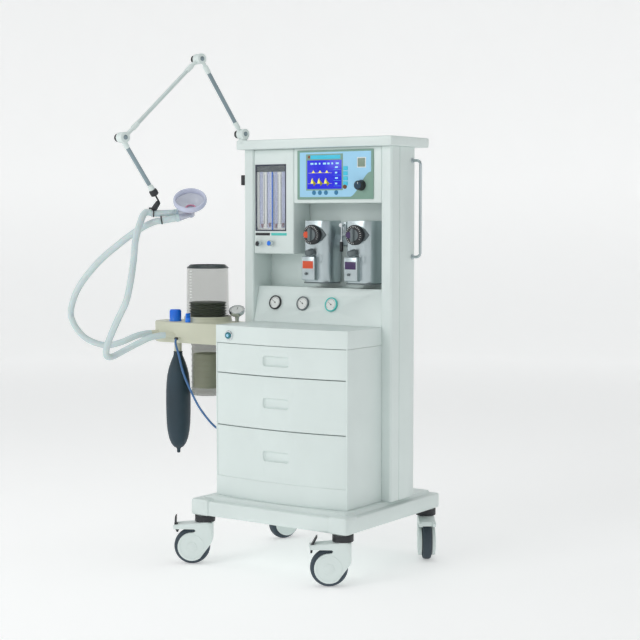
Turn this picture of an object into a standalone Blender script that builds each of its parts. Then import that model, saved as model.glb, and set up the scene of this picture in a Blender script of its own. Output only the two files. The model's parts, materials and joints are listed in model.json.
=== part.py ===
"""Anesthesia machine on casters: cabinet with drawers, gas panel, ventilator display, two vaporizers,
absorber with bellows, jointed support arm and patient circuit.

Metres, +Z up. The machine faces -Y; +X is its right as an operator in front of it sees it.
Sizes are worked out from the middle of the base's front edge, on the floor.
"""
import math

import bmesh
import bpy
from mathutils import Matrix, Vector

for item in list(bpy.data.objects):
    bpy.data.objects.remove(item, do_unlink=True)

# ---------------------------------------------------------------- driving dimensions
GAP = 0.0003                 # clearance between pieces that touch

BASE_W, BASE_D = 0.646, 0.602
BASE_Z, BASE_T = 0.172, 0.053
BASE_BLOCK = 0.074           # square pads over the front casters
BASE_SET_BACK = 0.009        # front edge between the pads
PLINTH_Z = 0.2365            # top of the sloped skirt, where cabinet and uprights stand

WHEEL_R, WHEEL_W = 0.0625, 0.032
CASTER_INSET = 0.036         # swivel axis in from the base's sides
CASTER_TRAIL = 0.045
FORK_HALF = 0.029
HUB_R = 0.049
FORK_TOP = 0.1457
SLOT_R, SLOT_HALF = 0.0655, 0.0182
AXLE_R = 0.005
PEDAL_X, PEDAL_Z = 0.100, 0.1315

CAB_W = 0.546
CAB_Y = 0.083                # front corners of the drawer unit
CAB_BOW = 0.025              # how far the fronts bow out in the middle
CAB_BACK = 0.4376
SIDE_T = 0.006
FRONT_T = 0.020
LINES_Z = (0.3045, 0.4840, 0.6650, 0.7685)   # joints between plinth, three drawers and worktop
SEAM = 0.0032
WORKTOP_Z = 0.829
GRIP_W, GRIP_H, GRIP_DEEP = 0.108, 0.036, 0.011

UP_W, UP_IN = 0.042, 0.268   # upright: width, and half the space between the two
UP_Y, UP_BACK = 0.2936, 0.448
COLUMN_TOP = 1.4376

SHELF_W, SHELF_Y, SHELF_D, SHELF_T = 0.648, 0.2664, 0.249, 0.033

FACE_Y = 0.2966              # front of the flowmeter and display housings
WALL_Y = 0.400               # front of the rear wall
FLOW_X = -0.0937             # seam between the two housings
FLOW_Z = 1.070               # underside of the flowmeter housing
BAY_TOP = 1.2475
BAY_FLOOR = 0.9545
GAUGE_FOOT_Y, GAUGE_HEAD_Y = 0.2955, 0.325
SHEET = 0.004

WINDOW = (-0.2575, -0.1295, 1.1537, 1.3817)      # flowmeter window: x0, x1, z0, z1
SCREEN_PLATE = (-0.0758, 0.2377, 1.2606, 1.4294)
FLOW_KNOBS = ((-0.2364, 1.106), (-0.1853, 1.108))
MENU_KNOB = (0.1899, 1.3073)
GAUGES = ((-0.1830, "pipeline_gauge_left"), (-0.0640, "pipeline_gauge_middle"),
          (0.0560, "pipeline_gauge_right"))
GAUGE_R, CAN_R = 0.025, 0.0205
GAUGE_UP = 0.070             # along the sloping panel, from its foot
FLUSH = (-0.205, 0.7955)
FLUSH_R = 0.0115

VAP_X = (-0.005, 0.171)
VAP_W, VAP_D, VAP_Z, VAP_H = 0.103, 0.080, 0.9745, 0.213
VAP_ROUND, VAP_EDGE = 0.038, 0.012                       # the front corners, right and left
VAP_Y = 0.303
DIAL_Z, DIAL_R = 1.1391, 0.034
LEVER_X, LEVER_Y, LEVER_Z = 0.084, 0.331, 1.172

ABS_Y, ABS_HALF = 0.230, 0.085       # absorber body: middle and half width
ABS_LEFT, ABS_RIGHT = -0.648, -0.3125
ABS_Z, ABS_SEAM, ABS_TOP = 0.750, 0.771, 0.824
DOME = (-0.4515, 0.262)
DOME_R, DOME_H, DOME_WALL = 0.079, 0.193, 0.003
SEAT_H = 0.014
CANISTER_R, CANISTER_Z = 0.060, 0.556
BAG_PORT = (-0.558, 0.220)
BAG_PORT_R, BAG_PORT_Z = 0.0138, 0.712
BAG_R, BAG_H = 0.045, 0.356
APL_KNOB = (-0.549, 0.196)
SELECT_KNOB = (-0.463, 0.162)
AIRWAY = (-0.347, 0.300)

ARM_BASE = (-0.302, 0.2784)
KNUCKLE_Z, KNUCKLE_R, KNUCKLE_HALF = 1.4935, 0.018, 0.016
ARM_HEADING = 254.5          # degrees in plan, the way the arm reaches out
LINKS = (0.313, 0.421, 0.227)
ARM_RISE = (53.5, -41.7, -56.3)      # pitch of each link; the last one comes back
LINK_R = 0.007

HOSE_D = 0.024
GAS_HOSE_D = 0.008

# ---------------------------------------------------------------- collections and helpers
machine = bpy.data.collections.new("anesthesia_machine")
cutters = bpy.data.collections.new("cutters")
for group in (machine, cutters):
    bpy.context.scene.collection.children.link(group)

root = bpy.data.objects.new("machine_origin", None)
machine.objects.link(root)


def paint(name, rgb, rough=0.4, metal=0.0, alpha=1.0):
    made = bpy.data.materials.new(name)
    made.use_nodes = True
    shader = made.node_tree.nodes["Principled BSDF"]
    shader.inputs["Base Color"].default_value = (*rgb, 1.0)
    shader.inputs["Roughness"].default_value = rough
    shader.inputs["Metallic"].default_value = metal
    shader.inputs["Alpha"].default_value = alpha
    return made


LOOKS = {
    "white": paint("enamel_white", (0.78, 0.84, 0.82), 0.35),
    "beige": paint("absorber_beige", (0.62, 0.61, 0.50), 0.45),
    "black": paint("black_plastic", (0.03, 0.035, 0.04), 0.5),
    "tyre": paint("tyre_grey", (0.03, 0.04, 0.05), 0.7),
    "steel": paint("satin_steel", (0.55, 0.60, 0.62), 0.3, 1.0),
    "chrome": paint("chrome", (0.75, 0.78, 0.80), 0.12, 1.0),
    "blue": paint("blue_knob", (0.02, 0.22, 0.85), 0.35),
    "smoke": paint("smoked_clear", (0.40, 0.43, 0.38), 0.15, 0.0, 0.45),
    "rubber": paint("slate_rubber", (0.03, 0.055, 0.075), 0.6),
    "hose": paint("clear_hose", (0.75, 0.82, 0.84), 0.35, 0.0, 0.8),
    "gas": paint("gas_hose_blue", (0.16, 0.28, 0.50), 0.35),
    "panel": paint("panel_green_grey", (0.24, 0.40, 0.34), 0.5),
    "dial": paint("dial_grey", (0.06, 0.07, 0.08), 0.45),
    "flush": paint("flush_teal", (0.12, 0.45, 0.50), 0.35),
}


def place(obj, look=None, parent=None, home=machine):
    home.objects.link(obj)
    obj.parent = parent or root
    if look:
        obj.data.materials.append(LOOKS[look])
    return obj


def empty(name, where, turn=0.0, parent=None):
    """A joint's place: its origin lies on the joint's axis."""
    made = bpy.data.objects.new(name, None)
    made.location = where
    made.rotation_euler = (0.0, 0.0, math.radians(turn))
    machine.objects.link(made)
    made.parent = parent or root
    return made


def block(name, size, centre, look=None, parent=None, round_edge=0.0, segments=2, home=machine):
    mesh = bpy.data.meshes.new(name)
    bm = bmesh.new()
    bmesh.ops.create_cube(bm, size=1.0)
    bmesh.ops.scale(bm, vec=size, verts=bm.verts)
    bm.to_mesh(mesh)
    bm.free()
    made = place(bpy.data.objects.new(name, mesh), look, parent, home)
    made.location = centre
    if round_edge:
        soften(made, round_edge, segments)
    return made


def span(name, x, y, z, look=None, parent=None, round_edge=0.0, segments=2, home=machine):
    """A block between two values on each axis."""
    size = (x[1] - x[0], y[1] - y[0], z[1] - z[0])
    centre = (sum(x) / 2, sum(y) / 2, sum(z) / 2)
    return block(name, size, centre, look, parent, round_edge, segments, home)


def soften(obj, width, segments=2, angle=40.0):
    edge = obj.modifiers.new("soft_edges", "BEVEL")
    edge.width, edge.segments = width, segments
    edge.limit_method, edge.angle_limit = "ANGLE", math.radians(angle)


def slab(name, outline, low, high, look=None, parent=None, home=machine):
    """A flat outline in X and Y, drawn out from low to high along Z."""
    curve = bpy.data.curves.new(name, "CURVE")
    curve.dimensions, curve.fill_mode = "2D", "BOTH"
    curve.extrude = (high - low) / 2
    line = curve.splines.new("POLY")
    line.points.add(len(outline) - 1)
    for point, (x, y) in zip(line.points, outline):
        point.co = (x, y, 0.0, 1.0)
    line.use_cyclic_u = True
    drawn = bpy.data.objects.new(name, curve)
    made = solid_of(drawn, name, look, parent, home)
    made.location = (0.0, 0.0, (low + high) / 2)
    return made


def solid_of(drawn, name, look=None, parent=None, home=machine):
    """The mesh of a curve, closed, so that Booleans and bevels can work on it."""
    bpy.context.scene.collection.objects.link(drawn)
    mesh = bpy.data.meshes.new_from_object(drawn.evaluated_get(bpy.context.evaluated_depsgraph_get()))
    bm = bmesh.new()
    bm.from_mesh(mesh)
    bmesh.ops.remove_doubles(bm, verts=bm.verts, dist=0.00005)
    bmesh.ops.recalc_face_normals(bm, faces=bm.faces)
    bm.to_mesh(mesh)
    bm.free()
    bpy.data.objects.remove(drawn, do_unlink=True)
    return place(bpy.data.objects.new(name, mesh), look, parent, home)


def turned(name, profile, where, look=None, parent=None, tilt=None, steps=16, home=machine):
    """A round piece: (radius, height) pairs run down its outer side from the axis back to the axis."""
    mesh = bpy.data.meshes.new(name)
    bm = bmesh.new()
    points = [bm.verts.new((r, 0.0, z)) for r, z in profile]
    for a, b in zip(points, points[1:]):
        bm.edges.new((a, b))
    bm.to_mesh(mesh)
    bm.free()
    made = place(bpy.data.objects.new(name, mesh), look, parent, home)
    made.location = where
    if tilt:
        made.rotation_euler = tilt
    spin = made.modifiers.new("turn", "SCREW")
    spin.steps = spin.render_steps = steps
    spin.use_merge_vertices, spin.merge_threshold = True, 0.00001
    spin.use_smooth_shade = True
    return made


def rod(name, a, b, radius, look=None, parent=None, steps=16, home=machine):
    """A plain round bar from a to b."""
    a, b = Vector(a), Vector(b)
    made = turned(name, [(0, (b - a).length), (radius, (b - a).length), (radius, 0), (0, 0)],
                  a, look, parent, None, steps, home)
    made.rotation_euler = (b - a).to_track_quat("Z", "Y").to_euler()
    return made


def smooth_route(points, step):
    """Evenly spaced points along a smooth curve through the route."""
    route = [Vector(p) for p in points]
    ends = [2 * route[0] - route[1], *route, 2 * route[-1] - route[-2]]
    fine = []
    for a, b, c, d in zip(ends, ends[1:], ends[2:], ends[3:]):
        for k in range(24):
            t = k / 24
            fine.append(0.5 * (2 * b + (c - a) * t + (2 * a - 5 * b + 4 * c - d) * t ** 2
                               + (3 * b - a - 3 * c + d) * t ** 3))
    fine.append(route[-1])
    length = sum((q - p).length for p, q in zip(fine, fine[1:]))
    count = max(2, round(length / step))
    out, walked, target = [fine[0]], 0.0, length / count
    for p, q in zip(fine, fine[1:]):
        part = (q - p).length
        while part and walked + part >= target * len(out) and len(out) < count:
            out.append(p.lerp(q, (target * len(out) - walked) / part))
        walked += part
    return [*out, fine[-1]]


def hose(name, points, diameter, look, spacing=2.5, facets=2):
    """A flexible tube along a route; it leaves and arrives straight."""
    curve = bpy.data.curves.new(name, "CURVE")
    curve.dimensions, curve.bevel_depth = "3D", diameter / 2
    curve.bevel_resolution, curve.use_fill_caps = facets, True
    curve.render_resolution_u = 0
    track = [Vector(points[0]), *smooth_route(points[1:-1], diameter * spacing), Vector(points[-1])]
    line = curve.splines.new("POLY")
    line.points.add(len(track) - 1)
    for point, at in zip(line.points, track):
        point.co = (*at, 1.0)
    return place(bpy.data.objects.new(name, curve), look)


def bent_rod(name, points, radius, look, facets=3):
    """A stiff bar bent to a path."""
    curve = bpy.data.curves.new(name, "CURVE")
    curve.dimensions, curve.bevel_depth = "3D", radius
    curve.bevel_resolution, curve.use_fill_caps = facets, True
    curve.render_resolution_u = 0
    line = curve.splines.new("POLY")
    line.points.add(len(points) - 1)
    for point, at in zip(line.points, points):
        point.co = (*at, 1.0)
    return place(bpy.data.objects.new(name, curve), look)


def combine(obj, tool, how):
    """Cuts a tool out of a piece, or joins it on; the tool stays as a construction object."""
    for home in list(tool.users_collection):
        home.objects.unlink(tool)
    cutters.objects.link(tool)
    tool.name = f"{tool.name}_{how.lower()}_tool"
    tool.hide_render, tool.display_type = True, "WIRE"
    step = obj.modifiers.new(tool.name, "BOOLEAN")
    step.operation, step.solver, step.object = how, "EXACT", tool
    return obj


def cut(obj, *tools):
    for tool in tools:
        combine(obj, tool, "DIFFERENCE")
    return obj


def join(obj, *tools):
    for tool in tools:
        combine(obj, tool, "UNION")
    return obj


def arc(cx, cy, radius, start, stop, count):
    return [(cx + radius * math.cos(math.radians(start + (stop - start) * k / count)),
             cy + radius * math.sin(math.radians(start + (stop - start) * k / count)))
            for k in range(count + 1)]


def bowed(half, corner, bow, count=12):
    """Points across a front that bows out by bow in the middle, from -half to half."""
    return [(-half + 2 * half * k / count, corner - bow * (1 - (2 * k / count - 1) ** 2))
            for k in range(count + 1)]


# ---------------------------------------------------------------- base and casters
base = span("base_chassis", (-BASE_W / 2, BASE_W / 2), (BASE_SET_BACK, BASE_D),
            (BASE_Z, BASE_Z + BASE_T), "white", round_edge=0.008)
for side in (-1, 1):
    x_out = side * BASE_W / 2
    x_in = x_out - side * BASE_BLOCK
    join(base, span(f"pad_{'left' if side < 0 else 'right'}", sorted((x_in, x_out)), (0.0, BASE_BLOCK),
                    (BASE_Z + GAP, BASE_Z + BASE_T + 0.006), round_edge=0.010))
skirt = block("skirt", (1.0, 1.0, 1.0), (0.0, (BASE_D + 0.012) / 2, (PLINTH_Z + BASE_Z + 0.02) / 2))
for vert in skirt.data.vertices:
    top = vert.co.z > 0
    vert.co.x *= BASE_W - (0.060 if top else 0.012)
    vert.co.y *= BASE_D - (0.075 if top else 0.024)
    vert.co.z *= PLINTH_Z - BASE_Z - 0.02
join(base, skirt)

# swivel angles as parked: the direction each wheel trails from its swivel axis
CASTERS = {
    "front_left": (-1, CASTER_INSET, 214.5), "front_right": (1, CASTER_INSET, 214.5),
    "rear_left": (-1, BASE_D - CASTER_INSET, 250.0), "rear_right": (1, BASE_D - CASTER_INSET, -55.5),
}
PEDAL_ANGLE = {"front_left": -26.0, "front_right": 0.0}


def fork(name, home_of):
    """Caster housing: collar, two side covers with hub discs, and a notch where the tyre shows."""
    t, z = CASTER_TRAIL, WHEEL_R
    side = [(-0.0275, FORK_TOP), (-0.0275, 0.088), (-0.024, 0.076),
            *arc(t, z, HUB_R, 200, 450, 22)[3:],
            (0.036, 0.1130), (0.031, 0.1180), (0.036, 0.1235), (0.088, 0.1245),
            (PEDAL_X + 0.008, 0.1245), (PEDAL_X + 0.010, 0.1375), (0.090, 0.1405), (0.028, FORK_TOP)]
    body = slab(name, side, -FORK_HALF, FORK_HALF, "white", home_of)
    body.data.transform(Matrix.Rotation(math.radians(90), 4, "X"))
    body.location = (0, 0, 0)
    soften(body, 0.0022, 1, 50)
    across = (math.radians(90), 0, 0)
    collar = turned("collar", [(0, BASE_Z - GAP), (0.0305, BASE_Z - GAP), (0.0305, FORK_TOP),
                               (0.0270, FORK_TOP - 0.004), (0, FORK_TOP - 0.004)], (0, 0, 0), None, home_of)
    wheel_slot = turned("wheel_slot", [(0, SLOT_HALF), (SLOT_R, SLOT_HALF), (SLOT_R, -SLOT_HALF),
                                       (0, -SLOT_HALF)], (t, 0, z), None, home_of, across, 20)
    pedal_slot = span("pedal_slot", (0.0935, 0.13), (-SLOT_HALF, SLOT_HALF), (0.10, 0.16), None, home_of)
    axle_hole = turned("axle_hole", [(0, 0.0262), (AXLE_R + GAP, 0.0262), (AXLE_R + GAP, -0.0262),
                                     (0, -0.0262)], (t, 0, z), None, home_of, across, 10)
    pin_hole = turned("pin_hole", [(0, 0.0242), (0.0028, 0.0242), (0.0028, -0.0242), (0, -0.0242)],
                      (PEDAL_X, 0, PEDAL_Z), None, home_of, across, 8)
    join(body, collar)
    cut(body, wheel_slot, axle_hole)
    return body, pedal_slot, pin_hole


for where, (side, y, heading) in CASTERS.items():
    swivel = empty(f"{where}_swivel", (side * (BASE_W / 2 - CASTER_INSET), y, 0.0), heading)
    housing, notch, pins = fork(f"{where}_caster_fork", swivel)
    cut(housing, notch)
    w = WHEEL_W / 2
    turned(f"{where}_wheel",
           [(0, 0.0258), (AXLE_R, 0.0258), (AXLE_R, w), (0.050, w), (0.059, w - 0.004),
            (WHEEL_R, 0.005), (WHEEL_R, -0.005), (0.059, 0.004 - w), (0.050, -w), (AXLE_R, -w),
            (AXLE_R, -0.0258), (0, -0.0258)],
           (CASTER_TRAIL, 0, WHEEL_R), "tyre", swivel, (math.radians(90), 0, 0), 24)
    if where in PEDAL_ANGLE:
        cut(housing, pins)
        lever = slab(f"{where}_brake_pedal",
                     [(-0.0050, 0.0030), (-0.0055, 0.0), (-0.0030, -0.0040), (0.0, -0.0195),
                      (0.0060, -0.0200), (0.0065, 0.0), (0.0, 0.012), (-0.0125, 0.0335), (-0.0170, 0.0350),
                      (-0.0165, 0.0312), (-0.0060, 0.0110)], -0.0172, 0.0172, "black",
                     empty(f"{where}_pedal_pivot", (PEDAL_X, 0, PEDAL_Z), 0, swivel))
        lever.data.transform(Matrix.Rotation(math.radians(90), 4, "X"))
        lever.location = (0, 0, 0)
        lever.rotation_euler = (0, -math.radians(PEDAL_ANGLE[where]), 0)
        join(lever, turned("pedal_pin", [(0, 0.0238), (0.0025, 0.0238), (0.0025, -0.0238), (0, -0.0238)],
                           (PEDAL_X, 0, PEDAL_Z), None, swivel, (math.radians(90), 0, 0), 8))
    else:
        bpy.data.objects.remove(pins, do_unlink=True)

# ---------------------------------------------------------------- drawer unit and worktop
HALF = CAB_W / 2
INNER = HALF - SIDE_T - GAP
BEHIND = UP_IN - GAP         # half width of whatever stands between the uprights
step_plan = [(HALF, UP_Y - GAP), (BEHIND, UP_Y - GAP), (BEHIND, CAB_BACK), (-BEHIND, CAB_BACK),
             (-BEHIND, UP_Y - GAP), (-HALF, UP_Y - GAP)]
cabinet = slab("lower_cabinet", bowed(HALF, CAB_Y, CAB_BOW) + step_plan, PLINTH_Z + GAP,
               LINES_Z[3] - GAP, "white")
soften(cabinet, 0.002, 1, 60)
cut(cabinet, span("front_recess", (-INNER, INNER), (0.0, CAB_Y + FRONT_T + GAP),
                  (LINES_Z[0] + SEAM / 2 - GAP, WORKTOP_Z)))
BAY_BACK = CAB_BACK - 0.012
DRAWERS = ("bottom_drawer", "middle_drawer", "top_drawer")
for name, low, high in zip(DRAWERS, LINES_Z, LINES_Z[1:]):
    cut(cabinet, span(f"{name}_bay", (-INNER + 0.014, INNER - 0.014), (0.0, BAY_BACK),
                      (low + 0.011, high - 0.011)))

for name, low, high in zip(DRAWERS, LINES_Z, LINES_Z[1:]):
    z0, z1 = low + SEAM / 2, high - SEAM / 2
    half = INNER - GAP
    front = slab(name, bowed(half, CAB_Y, CAB_BOW) + [(half, CAB_Y + FRONT_T), (-half, CAB_Y + FRONT_T)],
                 z0, z1, "white")
    soften(front, 0.0015, 1, 60)
    x = half - 0.024
    tray = span(f"{name}_tray", (-x, x), (CAB_Y + FRONT_T - 0.002, BAY_BACK - 0.004),
                (low + 0.013, high - 0.024))
    hollow = span(f"{name}_hollow", (-x + 0.003, x - 0.003), (CAB_Y + FRONT_T + 0.001, BAY_BACK - 0.007),
                  (low + 0.016, high))
    mid_y = CAB_Y - CAB_BOW
    grip_z = (z0 + z1) / 2
    grip = block(f"{name}_grip", (GRIP_W, GRIP_DEEP * 2, GRIP_H), (0, mid_y, grip_z), round_edge=0.010,
                 segments=3)
    join(front, tray)
    cut(front, hollow, grip)

top_z = LINES_Z[3] + GAP
worktop = slab("worktop", bowed(HALF, CAB_Y, CAB_BOW) + step_plan, top_z, WORKTOP_Z, "white")
soften(worktop, 0.004, 1, 40)
flush_y = CAB_Y - CAB_BOW * (1 - (FLUSH[0] / HALF) ** 2)
facing = (math.radians(90), 0, 0)      # a turned piece whose top faces the operator
flush_well = turned("flush_well", [(0, 0.030), (FLUSH_R + GAP, 0.030), (FLUSH_R + GAP, -0.022),
                                   (0, -0.022)], (FLUSH[0], flush_y, FLUSH[1]), None, None, facing)
flush_collar = turned("flush_collar", [(0, 0.0075), (0.0150, 0.0075), (0.0165, 0.006), (0.0165, -0.006),
                                       (0, -0.006)], (FLUSH[0], flush_y, FLUSH[1]), None, None, facing)
join(worktop, flush_collar)
cut(worktop, flush_well)
turned("oxygen_flush_button", [(0, 0.0125), (FLUSH_R - 0.0015, 0.0125), (FLUSH_R, 0.011), (FLUSH_R, -0.012),
                               (0, -0.012)], (FLUSH[0], flush_y, FLUSH[1]), "flush", None, facing)

# ---------------------------------------------------------------- uprights, rear wall and top shelf
for name, side in (("left_upright", -1), ("right_upright", 1)):
    plan = [(UP_IN, UP_Y + 0.004), (UP_IN + 0.004, UP_Y), (UP_IN + UP_W - 0.006, UP_Y),
            (UP_IN + UP_W, UP_Y + 0.006), (UP_IN + UP_W, 0.3425), (UP_IN + UP_W - 0.003, 0.3435),
            (UP_IN + UP_W - 0.003, 0.3460), (UP_IN + UP_W, 0.3470), (UP_IN + UP_W, 0.4150),
            (UP_IN + UP_W - 0.004, 0.4190), (UP_IN + UP_W - 0.004, UP_BACK), (UP_IN, UP_BACK)]
    slab(name, [(side * x, y) for x, y in plan], PLINTH_Z + GAP, COLUMN_TOP - GAP, "white")

wall = span("rear_wall", (-BEHIND, BEHIND), (WALL_Y, CAB_BACK), (WORKTOP_Z + GAP, COLUMN_TOP - GAP), "white")
shelf = span("top_shelf", (-SHELF_W / 2, SHELF_W / 2), (SHELF_Y, SHELF_Y + SHELF_D),
             (COLUMN_TOP, COLUMN_TOP + SHELF_T), "white", round_edge=0.005)

handle_x = UP_IN + UP_W - 0.004
HANDLE_Y, HANDLE_Z, HANDLE_R = 0.4335, (1.064, 1.392), 0.005
reach = handle_x + 0.032
bent_rod("side_handle",
         [(handle_x + GAP, HANDLE_Y, HANDLE_Z[0]), (reach - 0.012, HANDLE_Y, HANDLE_Z[0]),
          (reach - 0.003, HANDLE_Y, HANDLE_Z[0] + 0.005), (reach, HANDLE_Y, HANDLE_Z[0] + 0.016),
          (reach, HANDLE_Y, HANDLE_Z[1] - 0.016), (reach - 0.003, HANDLE_Y, HANDLE_Z[1] - 0.005),
          (reach - 0.012, HANDLE_Y, HANDLE_Z[1]), (handle_x + GAP, HANDLE_Y, HANDLE_Z[1])],
         HANDLE_R, "steel")

# ---------------------------------------------------------------- housings on the uprights
housing_y = (FACE_Y, WALL_Y - GAP)
flow = span("flowmeter_housing", (-BEHIND, FLOW_X - GAP), housing_y, (FLOW_Z, COLUMN_TOP - GAP), "white",
            round_edge=0.006)
x0, x1, z0, z1 = WINDOW
cut(flow, span("window_pocket", (x0 - GAP, x1 + GAP), (0.2, FACE_Y + 0.030), (z0 - GAP, z1 + GAP)))
tubes = span("flow_tube_block", (x0, x1), (FACE_Y + 0.008, FACE_Y + 0.030 - GAP), (z0, z1), "white")
for k in range(4):
    bore_x = x0 + (x1 - x0) * (k + 0.5) / 4
    cut(tubes, rod(f"tube_groove_{k + 1}", (bore_x, FACE_Y + 0.0085, z0 + 0.008),
                   (bore_x, FACE_Y + 0.0085, z1 - 0.020), 0.008, steps=12))

for (x, z), name in zip(FLOW_KNOBS, ("oxygen_flow_knob", "air_flow_knob")):
    cut(flow, turned(f"{name}_hole", [(0, 0.010), (0.0033, 0.010), (0.0033, -0.020), (0, -0.020)],
                     (x, FACE_Y, z), None, None, facing, steps=12))
    turned(name, [(0, 0.024), (0.0085, 0.024), (0.0095, 0.0225), (0.0095, 0.011), (0.0065, 0.0095),
                  (0.0065, GAP), (0.003, GAP), (0.003, -0.018), (0, -0.018)], (x, FACE_Y, z), "chrome",
           None, facing)

display = span("display_housing", (FLOW_X, BEHIND), housing_y, (BAY_TOP, COLUMN_TOP - GAP), "white",
               round_edge=0.004)
x0, x1, z0, z1 = SCREEN_PLATE
PLATE_Y = (FACE_Y - 0.0045, FACE_Y - GAP)
plate = span("display_panel", (x0, x1), PLATE_Y, (z0, z1), "panel", round_edge=0.0012, segments=1)
knob_front = PLATE_Y[0]
for tool_home in (plate, display):
    cut(tool_home, turned("menu_shaft_hole", [(0, 0.02), (0.0038, 0.02), (0.0038, -0.022), (0, -0.022)],
                          (MENU_KNOB[0], knob_front, MENU_KNOB[1]), None, None, facing, steps=12))
turned("menu_knob", [(0, 0.024), (0.0135, 0.024), (0.0155, 0.0215), (0.0170, 0.004), (0.0185, 0.0025),
                     (0.0185, GAP), (0.0035, GAP), (0.0035, -0.018), (0, -0.018)],
       (MENU_KNOB[0], knob_front, MENU_KNOB[1]), "dial", None, facing, steps=18)

# sloping gauge panel: a folded sheet whose flat top is the floor of the vaporizer bay
foot = (GAUGE_FOOT_Y, WORKTOP_Z + GAP)
head = (GAUGE_HEAD_Y, BAY_FLOOR)
slope = math.atan2(head[0] - foot[0], head[1] - foot[1])
thick = SHEET / math.cos(slope)
fold = [foot, head, (WALL_Y - GAP, BAY_FLOOR), (WALL_Y - GAP, BAY_FLOOR - SHEET),
        (head[0] + thick + 0.001, BAY_FLOOR - SHEET), (foot[0] + thick, foot[1])]
gauge_panel = slab("gauge_panel", [(y, z) for y, z in fold], -BEHIND, BEHIND, "white")
gauge_panel.data.transform(Matrix(((0, 0, 1, 0), (1, 0, 0, 0), (0, 1, 0, 0), (0, 0, 0, 1))))
gauge_panel.location = (0, 0, 0)
face_out = (math.radians(90) - slope, 0, 0)
for x, name in GAUGES:
    at = (x, foot[0] + GAUGE_UP * math.sin(slope), foot[1] + GAUGE_UP * math.cos(slope))
    cut(gauge_panel, turned(f"{name}_hole", [(0, 0.01), (CAN_R + GAP, 0.01), (CAN_R + GAP, -0.02),
                                             (0, -0.02)], at, None, None, face_out))
    turned(name, [(0, 0.0045), (GAUGE_R - 0.0045, 0.0045), (GAUGE_R - 0.0040, 0.0075),
                  (GAUGE_R - 0.0010, 0.0075), (GAUGE_R, 0.0060), (GAUGE_R, GAP), (CAN_R, GAP),
                  (CAN_R, -0.026), (0, -0.026)], at, "dial", None, face_out)

# ---------------------------------------------------------------- vaporizers
bar_y = (VAP_Y + VAP_D + GAP, WALL_Y - GAP)
mount_bar = span("vaporizer_bar", (VAP_X[0] - 0.040, VAP_X[1] + 0.040), bar_y, (1.100, 1.142), "steel",
                 round_edge=0.002, segments=1)
bracket = span("lever_bracket", (LEVER_X - 0.010, LEVER_X + 0.010), (LEVER_Y + 0.012, bar_y[1]), (1.136, 1.182))
join(mount_bar, bracket)
cut(mount_bar, turned("lever_hole", [(0, 0.05), (0.0033, 0.05), (0.0033, -0.028), (0, -0.028)],
                      (LEVER_X, LEVER_Y + 0.012, LEVER_Z), None, None, facing, steps=12))
for x, name in zip(VAP_X, ("left_vaporizer", "right_vaporizer")):
    body = block(name, (VAP_W, VAP_D, VAP_H), (x, VAP_Y + VAP_D / 2, VAP_Z + VAP_H / 2), "steel")
    soften(body, VAP_ROUND, 5)
    body.modifiers[0].limit_method = "WEIGHT"
    corner = body.data.attributes.new("bevel_weight_edge", "FLOAT", "EDGE")
    for edge in body.data.edges:
        a, b = (body.data.vertices[k].co for k in edge.vertices)
        upright = abs(a.z - b.z) > 0.1 and a.y < 0
        corner.data[edge.index].value = upright * (1.0 if a.x > 0 else VAP_EDGE / VAP_ROUND)
    filler = span(f"{name}_filler", (x - 0.0455, x + 0.0095), (VAP_Y - 0.022, VAP_Y + 0.010),
                  (VAP_Z + 0.006, VAP_Z + 0.090), round_edge=0.004)
    neck = rod(f"{name}_filler_cap", (x - 0.018, VAP_Y - 0.008, VAP_Z + 0.080),
               (x - 0.018, VAP_Y - 0.008, VAP_Z + 0.112), 0.0125)
    boss = turned(f"{name}_dial_boss", [(0, 0.0125), (0.031, 0.0125), (0.031, -0.006), (0, -0.006)],
                  (x, VAP_Y, DIAL_Z), None, None, facing)
    join(body, filler, neck, boss)
    cut(body, turned(f"{name}_spindle_hole", [(0, 0.02), (0.0063, 0.02), (0.0063, -0.022), (0, -0.022)],
                     (x, VAP_Y, DIAL_Z), None, None, facing, steps=16))
    dial = turned(f"{name}_dial", [(0, 0.0330), (DIAL_R - 0.010, 0.0330), (DIAL_R, 0.0290),
                                   (DIAL_R, 0.0128), (0.006, 0.0128), (0.006, -0.020), (0, -0.020)],
                  (x, VAP_Y, DIAL_Z), "dial", None, facing, steps=20)
    join(dial, span(f"{name}_dial_grip", (x - 0.0055, x + 0.0055), (VAP_Y - 0.044, VAP_Y - 0.030),
                    (DIAL_Z - 0.024, DIAL_Z + 0.024), round_edge=0.002, segments=1))

lever = turned("interlock_lever", [(0, 0.006), (0.007, 0.006), (0.007, -0.0117), (0.003, -0.0117),
                                   (0.003, -0.038), (0, -0.038)], (LEVER_X, LEVER_Y, LEVER_Z), "chrome",
               None, facing, steps=16)
join(lever, rod("lever_stem", (LEVER_X, LEVER_Y, LEVER_Z - 0.002), (LEVER_X, LEVER_Y, LEVER_Z - 0.056),
                0.003, steps=12),
     rod("lever_grip", (LEVER_X, LEVER_Y, LEVER_Z - 0.050), (LEVER_X, LEVER_Y, LEVER_Z - 0.090), 0.0055,
         steps=12))

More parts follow.
